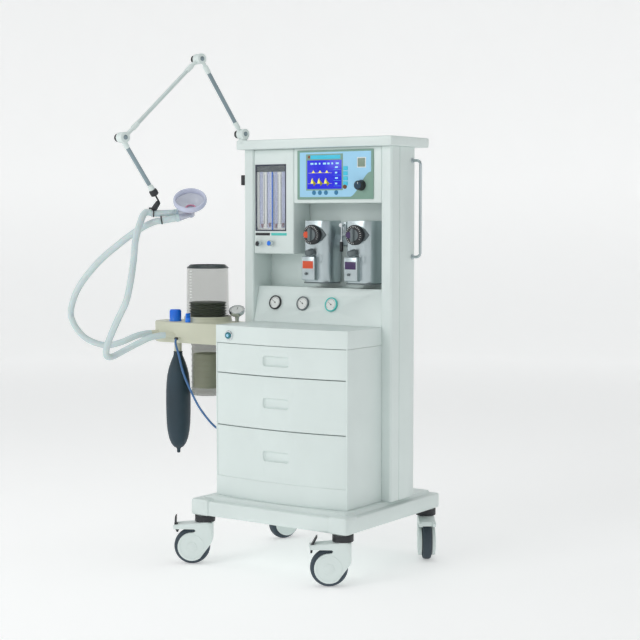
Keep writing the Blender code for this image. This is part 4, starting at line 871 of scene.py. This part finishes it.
# %% Panel, overlay and screen
P_FRONT = FACE_Y - 0.0045
dress("display_panel", PANEL, "panel_green_grey", 0.0004)
sweep = []
for k in range(25):
    t = k / 24
    ease = t * t * (3 - 2 * t)
    sweep.append((0.229 - 0.086 * t, 1.353 - 0.084 * ease))
overlay = [(-0.064, 1.4225), (-0.064, 1.269), *reversed(sweep), (0.229, 1.4225)]
fit(plate("display_overlay", overlay, P_FRONT + 0.0003, P_FRONT - 0.0006), SKY, "panel_green_grey")
fit(brick("lcd_frame", (-0.0372, 0.1158), (P_FRONT - 0.0012, P_FRONT), (1.2914, 1.4160), 0.0008), PANEL,
    "panel_green_grey")
fit(brick("lcd_screen", (-0.0322, 0.1108), (P_FRONT - 0.0016, P_FRONT - 0.0004), (1.2964, 1.3950), 0.0003), LCD,
    "flush_teal")
fit(brick("lcd_cyan_band", (-0.0187, 0.1058), (P_FRONT - 0.0017, P_FRONT - 0.0004), (1.3985, 1.4122), 0.0004), CYAN,
    "flush_teal")
T_Y = P_FRONT - 0.0018
BUMP = [(-0.0075, 0), (-0.0035, 0.0035), (0, 0.0085), (0.0035, 0.0035), (0.0075, 0)]
BREATH = [(-0.013, 0), (-0.011, 0.009), (-0.008, 0.016), (-0.0045, 0.0175), (-0.0035, 0.007), (-0.002, 0.004),
          (-0.001, -0.008), (0.001, -0.0095), (0.003, -0.003), (0.009, 0)]
for k, x in enumerate((-0.006, 0.022, 0.050)):
    fit(plate(f"pressure_peak_{k + 1}", [(x + u, 1.3520 + v) for u, v in BUMP], T_Y + 0.0003, T_Y - 0.0003), TRACE,
        "flush_teal")
    fit(plate(f"flow_peak_{k + 1}", [(x + 0.002 + u, 1.3155 + v) for u, v in BREATH], T_Y + 0.0003, T_Y - 0.0003),
        TRACE, "flush_teal")
for name, z in (("pressure", 1.3516), ("flow", 1.3150)):
    fit(brick(f"trace_{name}_base", (-0.027, 0.071), (T_Y - 0.0002, T_Y + 0.0002), (z - 0.0006, z), 0.0), TRACE,
        "flush_teal")
for k in range(7):
    fit(brick(f"screen_heading_{k + 1}", (-0.018 + k * 0.0175, -0.018 + k * 0.0175 + 0.0125 - 0.003 * (k % 3)),
        (T_Y - 0.0002, T_Y + 0.0002), (1.3800, 1.3862), 0.0003), ICE, "flush_teal")
for k in range(4):
    z = 1.3700 - k * 0.0185
    fit(brick(f"screen_value_{k + 1}", (0.084, 0.084 + 0.012 - 0.003 * (k % 2)), (T_Y - 0.0002, T_Y + 0.0002),
        (z - 0.0026, z + 0.0026), 0.0003), ICE, "flush_teal")
    fit(brick(f"screen_row_{k + 1}", (0.078, 0.1075), (T_Y - 0.0001, T_Y + 0.0002), (z - 0.0087, z - 0.0081), 0.0),
        CYAN, "flush_teal")
print("overlay points:", len(overlay))

# %% [markdown]
# The panel's keys are low domes and rounded blocks. The large dark knob moves through the menu, and the flush
# button sits on the worktop's front edge in a chrome collar that keeps it from being knocked.

# %% Buttons and keys
fit(lathe("alarm_light", [(0, 0.0022), (0.0042, 0.0020), (0.0055, 0.0004), (0, 0.0)], spot(-0.0242, P_FRONT, 1.4065),
    FRONT, 32), finish("alarm_brown", (0.30, 0.06, 0.01), 0.25, change=0.05), "flush_teal")
for k in range(4):
    z = 1.3744 - 0.0086 - k * 0.0172
    fit(brick(f"soft_key_{k + 1}", (0.1172, 0.1355), (P_FRONT - 0.0024, P_FRONT), (z - 0.0068, z + 0.0068), 0.0012,
        3), CYAN, "panel_green_grey")
BUTTON = [(0, 0.0026), (0.0066, 0.0026), (0.0076, 0.0018), (0.0080, 0.0002), (0, 0.0)]
DEEP = finish("button_deep_blue", (0.03, 0.20, 0.38), 0.3)
BROWN = finish("button_brown", (0.16, 0.045, 0.01), 0.3)
for name, x, z, look in (("mode_button", -0.0041, 1.2835, DEEP), ("volume_button", 0.0206, 1.2835, DEEP),
                         ("rate_button", 0.0456, 1.2835, DEEP), ("mute_button", 0.0882, 1.2835, DEEP),
                         ("start_button", 0.1239, 1.3035, BROWN)):
    fit(lathe(name, BUTTON, spot(x, P_FRONT, z), FRONT, 40), look, "flush_teal")
fit(brick("power_switch_frame", (0.1735, 0.2085), (P_FRONT - 0.0016, P_FRONT), (1.3668, 1.4018), 0.0012, 2), WHITE,
    "dial_grey")
fit(brick("power_switch", (0.1765, 0.2055), (P_FRONT - 0.0034, P_FRONT), (1.3698, 1.3988), 0.0018, 3),
    finish("switch_olive_grey", (0.24, 0.31, 0.24), 0.4), "dial_grey")
KNOB = spot(0.1899, P_FRONT, 1.3073)
settle(lathe("menu_knob_skin", [(0, 0.0225), (0.0126, 0.0225), (0.0140, 0.0236), (0.0154, 0.0222), (0.0170, 0.0045),
    (0.0184, 0.0030), (0.0185, 0.0006), (0, 0.0006)], KNOB, FRONT), "menu_knob", BLACK, "dial_grey", "menu_knob")
settle(lathe("menu_knob_face", [(0, 0.0232), (0.0118, 0.0232), (0.0124, 0.0224), (0, 0.0220)], KNOB, FRONT),
    "menu_knob", NAVY, "dial_grey")
settle(brick("menu_knob_mark", (0.1892, 0.1906), (P_FRONT - 0.0239, P_FRONT - 0.0228), (1.3110, 1.3180), 0.0002),
    "menu_knob", WHITE, "dial_grey")
FLUSH_Y = 0.083 - 0.025 * (1 - (0.205 / 0.273) ** 2)
FLUSH = spot(-0.205, FLUSH_Y, 0.7955)
settle(lathe("flush_button_skin", [(0, 0.0115), (0.0070, 0.0117), (0.0100, 0.0122), (0.0112, 0.0108), (0.0115,
    0.0090), (0.0115, -0.0115), (0, -0.0115)], FLUSH, FRONT, 56), "oxygen_flush_button", finish("flush_dark_teal",
    (0.03, 0.20, 0.24), 0.3), "flush_teal", "oxygen_flush_button")
settle(lathe("flush_button_dot", [(0, 0.0128), (0.0048, 0.0128), (0.0052, 0.0122), (0.0052, 0.0100), (0, 0.0100)],
    FLUSH, FRONT, 40), "oxygen_flush_button", SKY, "flush_teal")
fit(lathe("flush_collar", [(0.0119, 0.0078), (0.0152, 0.0078), (0.0166, 0.0062), (0.0170, -0.0050), (0.0119, -0.0050),
    (0.0119, 0.0078)], FLUSH, FRONT, 56), CHROME, "chrome")
print("flush button stands at y", round(FLUSH_Y, 4))

# %% [markdown]
# ## Vaporizers
# Each vaporizer is a satin silver block hung on a rail. Its dial has white ticks and a grey hub, a coloured bar
# tells the drug, and the filler block at the lower left carries the same colour.

# %% Vaporizer bodies, dials and fillers
DIAL_Z = 1.1391
for x, name, tint in ((-0.005, "left_vaporizer", ORANGE), (0.171, "right_vaporizer", PURPLE)):
    dress(name, VAPOR, "satin_steel", 0.0006, 34.0)
    dial, at = f"{name}_dial", spot(x, 0.303, DIAL_Z)
    settle(lathe(f"{dial}_skin", [(0, 0.0318), (0.0225, 0.0322), (0.0262, 0.0318), (0.0325, 0.0296), (0.0340, 0.0280),
        (0.0340, 0.0140), (0.0330, 0.0130), (0, 0.0130)], at, FRONT, 80), dial, BLACK, "dial_grey", dial)
    round_marks(f"{dial}_ribs", at + Vector((0, -0.0205, 0)), FRONT, dial, BLACK, "dial_grey", 48, 0.0338, 0.0008,
        0.0012, 0.0125)
    round_marks(f"{dial}_marks", at + Vector((0, -0.0309, 0)), FRONT, dial, WHITE, "dial_grey", 22, 0.0285, 0.0045,
        0.0010, 0.0030, -30, 300)
    settle(lathe(f"{dial}_hub", [(0, 0.0338), (0.0175, 0.0338), (0.0195, 0.0326), (0.0200, 0.0318), (0, 0.0318)], at,
        FRONT, 56), dial, GREY, "dial_grey")
    settle(brick(f"{dial}_grip_bar", (x - 0.0050, x + 0.0050), (0.2592, 0.2705), (DIAL_Z - 0.0225, DIAL_Z + 0.0225),
        0.0022, 3), dial, GREY, "dial_grey")
    settle(lathe(f"{dial}_agent_disc", [(0, 0.0330), (0.0108, 0.0330), (0.0112, 0.0345), (0.0104, 0.0352), (0,
        0.0354)], at + Vector((-0.0172, 0, 0)), FRONT, 40), dial, tint, "dial_grey")
    fit(plate(f"{name}_dial_stop", [(x + 0.010, DIAL_Z - 0.026), (x + 0.030, DIAL_Z - 0.020), (x + 0.0475, DIAL_Z),
        (x + 0.030, DIAL_Z + 0.020), (x + 0.010, DIAL_Z + 0.026)], 0.2925, 0.3015, 0.0020), GREY, "dial_grey")
    fit(brick(f"{name}_filler_label", (x - 0.0400, x + 0.0040), (0.2802, 0.2814), (1.022, 1.048), 0.0004), tint,
        "satin_steel")
    fit(lathe(f"{name}_filler_cap_skin", [(0, 0.0100), (0.0120, 0.0100), (0.0150, 0.0080), (0.0165, 0.0030), (0.0172,
        -0.0030), (0.0150, -0.0080), (0.0135, -0.0100), (0, -0.0100)], spot(x - 0.018, 0.292, 1.0780), (-0.25, -0.30,
        1.0), steps=48), GREY, "black_plastic")
    fit(lathe(f"{name}_drain_screw", [(0, 0.0065), (0.0042, 0.0065), (0.0050, 0.0055), (0.0050, 0), (0, 0)],
        spot(x - 0.024, 0.2812, 1.0040), FRONT, 40), GREY, "chrome")
    loop = [spot(x + 0.0215 + 0.0105 * cosd(a), 0.2940, 1.0560 + 0.0155 * sind(a))
            for a in range(125, 426, 12)]
    fit(bar(f"{name}_cap_wire", [spot(x - 0.006, 0.2900, 1.0740), *loop[1:]], 0.0009, 3), STEEL, "chrome")
    fit(brick(f"{name}_foot_rim", (x - 0.0500, x + 0.0500), (0.3045, 0.3820), (0.9700, 0.9745), 0.0010), GREY,
        "satin_steel")

# %% [markdown]
# A lever between the two vaporizers lets only one of them be opened. Its hand grip is a soft black sleeve.

# %% Interlock lever's grip
settle(lathe("interlock_grip", [(0, 0.036), (0.0045, 0.036), (0.0060, 0.033), (0.0062, 0.002), (0.0050, 0), (0, 0)],
    spot(0.084, 0.331, 1.081), steps=40), "interlock_lever", BLACK, "black_plastic")

# %% [markdown]
# ## Arm fittings, hooks and handle
# Each elbow is clamped by a black knob with finger ribs. The clip at the arm's end holds each hose in an open
# hook, and the tall bent handle on the right side is bare steel.

# %% Clamp knobs
PIN = Vector((-0.96363, 0.267238, 0.0)).normalized()
HEADING, RISE, LENGTHS = math.radians(254.5), (53.5, -41.7, -56.3), (0.313, 0.421, 0.227)
OUT = Vector((math.cos(HEADING), math.sin(HEADING), 0))
WAYS = [way * cosd(rise) + Vector((0, 0, sind(rise)))
        for way, rise in zip((OUT, OUT, -OUT), RISE)]
KNUCKLES = [spot(-0.302, 0.2784, 1.4935)]
for way, length in zip(WAYS, LENGTHS):
    KNUCKLES.append(KNUCKLES[-1] + way * length)
for at, name in zip(KNUCKLES, ("shoulder_clamp_knob", "elbow_clamp_knob", "wrist_clamp_knob")):
    foot = at + PIN * 0.0166
    settle(lathe(f"{name}_skin", [(0, 0.0188), (0.0118, 0.0188), (0.0134, 0.0175), (0.0140, 0.0150), (0.0140, 0.0040),
        (0.0120, 0.0004), (0, 0.0004)], foot, PIN, 48), name, BLACK, "black_plastic", name)
    round_marks(f"{name}_ribs", foot + PIN * 0.0095, PIN, name, BLACK, "black_plastic", 12, 0.0134, 0.0020, 0.0038,
        0.012)
print("arm's elbows at", [round(at.z, 3) for at in KNUCKLES])

# %% [markdown]
# The arm's tubes are bright steel between white end fittings. A steel bolt head shows at each elbow, and a black
# collar holds the hose clip at the last tube's end.

# %% Arm tubes, bolt heads, collar and clip
BRIGHT = finish("bright_arm_tube", (0.62, 0.70, 0.69), 0.35, metal=0.35, change=0.04)
ARM_TUBE = finish("arm_tube_steel", (0.26, 0.33, 0.36), 0.30, metal=0.80, change=0.10)
for k, (name, tube, look) in enumerate((("lower_link", 0.0074, ARM_TUBE), ("upper_link", 0.0070, BRIGHT),
                                        ("end_link", 0.0074, ARM_TUBE))):
    last = k == 2
    start, end = KNUCKLES[k] + PIN * 0.0090, KNUCKLES[k + 1] - (WAYS[k] * 0.004 if last else PIN * 0.0090)
    settle(bar(f"{name}_tube_skin", [start.lerp(end, 0.16), start.lerp(end, 0.84)], tube, 6), name, look,
        "satin_steel")
    for part, share in (("start", 0.12), ("finish", 0.86)):
        if not (last and part == "finish"):
            settle(lathe(f"{name}_{part}_sleeve", [(0, 0.014), (0.0080, 0.014), (0.0092, 0.012), (0.0092, -0.012),
                (0.0080, -0.014), (0, -0.014)], start.lerp(end, share), WAYS[k], 32), name, ENAMEL, "enamel_white")
for at, body in zip(KNUCKLES, ("arm_turret", "lower_link", "upper_link")):
    settle(lathe(f"{body}_bolt_head", [(0, 0.0022), (0.0060, 0.0022), (0.0078, 0.0012), (0.0080, 0.0), (0, 0)],
        at - PIN * 0.0165, -PIN, 40), body, ARM_TUBE, "satin_steel")
TIP = KNUCKLES[3]
CLIP_TOP = TIP + WAYS[2] * 0.028
CLIP_FOOT = spot(-0.4129, -0.0720, 1.2310)
settle(lathe("hose_clip_body", [(0, 0.0), (0.0055, 0.0), (0.0085, 0.004), (0.0090, 0.012), (0.0100, 0.026), (0.0092,
    0.034), (0.0060, 0.038), (0, 0.038)], CLIP_TOP, CLIP_FOOT - CLIP_TOP, 40), "hose_holder", BLACK, "black_plastic")
settle(lathe("arm_end_collar", [(0, 0.0020), (0.0112, 0.0020), (0.0140, 0.0), (0.0145, -0.006), (0.0140, -0.016),
    (0.0112, -0.020), (0, -0.020)], TIP, WAYS[2], 40), "end_link", BLACK, "black_plastic")
print("arm tubes:", LENGTHS)

# %% [markdown]
# An open hook holds each hose, so that it can be lifted out. The side handle is a bar bent twice, with a round
# foot at each end, and the small latch beside the flowmeter is black.

# %% Hose hooks and side handle
for name in ("inspiratory", "expiratory"):
    at, end = HELD[name], leg_ends[name]
    along = (end - at).normalized()
    side = along.cross(Vector((0, 0, 1))).normalized()
    over = side.cross(along)
    ring = [at + (side * cosd(a) + over * sind(a)) * 0.0150
            for a in range(-50, 211, 10)]
    settle(bar(f"{name}_hook", ring, 0.0022, 3), "hose_holder", BLACK, "black_plastic", sharp=60)
x, y = 0.306, 0.4335
handle_line = [spot(x + out, y, z) for out, z in (
    (0.0003, 1.064), (0.018, 1.064), (0.026, 1.0665), (0.0315, 1.074), (0.032, 1.086), (0.032, 1.228),
    (0.032, 1.370), (0.0315, 1.382), (0.026, 1.3895), (0.018, 1.392), (0.0003, 1.392))]
fit(bar("side_handle_skin", smooth_route(handle_line, 0.004), 0.005, 6), STEEL, "satin_steel", "side_handle",
    sharp=60)
for z in (1.064, 1.392):
    fit(lathe(f"handle_foot_{'low' if z < 1.2 else 'high'}", [(0, 0.0030), (0.0082, 0.0030), (0.0092, 0.0018),
        (0.0092, 0), (0, 0)], spot(x, y, z), (1, 0, 0), 40), STEEL, "satin_steel")
fit(brick("side_latch", (-0.3255, -0.3095), (0.2970, 0.3110), (1.3130, 1.3490), 0.0015, 3), BLACK, "black_plastic")

# %% [markdown]
# ## Floor and light
# The machine stands on a plain pale floor that bends up all round it like a wide bowl, so that every side has the
# same pale background. The bowl glows a little, and large soft lamps leave no hard shadows.

# %% Floor and lamps
bowl = [(0, 0), (7.5, 0)]
bowl += [(7.5 + 1.5 * sind(a), 1.5 - 1.5 * cosd(a)) for a in range(10, 91, 10)]
bowl += [(9.0, 4.5)]
floor = lathe("floor", bowl, (0, 0, 0), steps=128)
floor.data.shade_smooth()
floor.data.materials.append(finish("floor_pale", (0.90, 0.90, 0.90), 0.7, change=0.005, bump=0.0,
                                   Emission_Color=(1, 1, 1, 1), Emission_Strength=0.30))


def lamp(name, at, aim, size, power):
    made = bpy.data.objects.new(name, bpy.data.lights.new(name, "AREA"))
    made.data.shape, made.data.size, made.data.energy = "SQUARE", size, power
    bpy.context.scene.collection.objects.link(made)
    made.location = at
    made.rotation_euler = (Vector(aim) - Vector(at)).to_track_quat("-Z", "Y").to_euler()


lamp("key", (-1.2, -4.2, 3.2), (0.0, 0, 0.8), 2.2, 50)
lamp("fill", (-3.6, -1.6, 2.2), (0, 0, 0.8), 3.0, 12)
lamp("top", (0.0, 0.4, 4.2), (0, 0, 0.6), 3.0, 26)
world = bpy.data.worlds.new("studio")
bpy.context.scene.world = world
world.use_nodes = True
sky = world.node_tree.nodes["Background"].inputs
sky["Color"].default_value, sky["Strength"].default_value = (0.96, 1.0, 1.0, 1), 0.34
bpy.context.scene.view_settings.view_transform = "Standard"
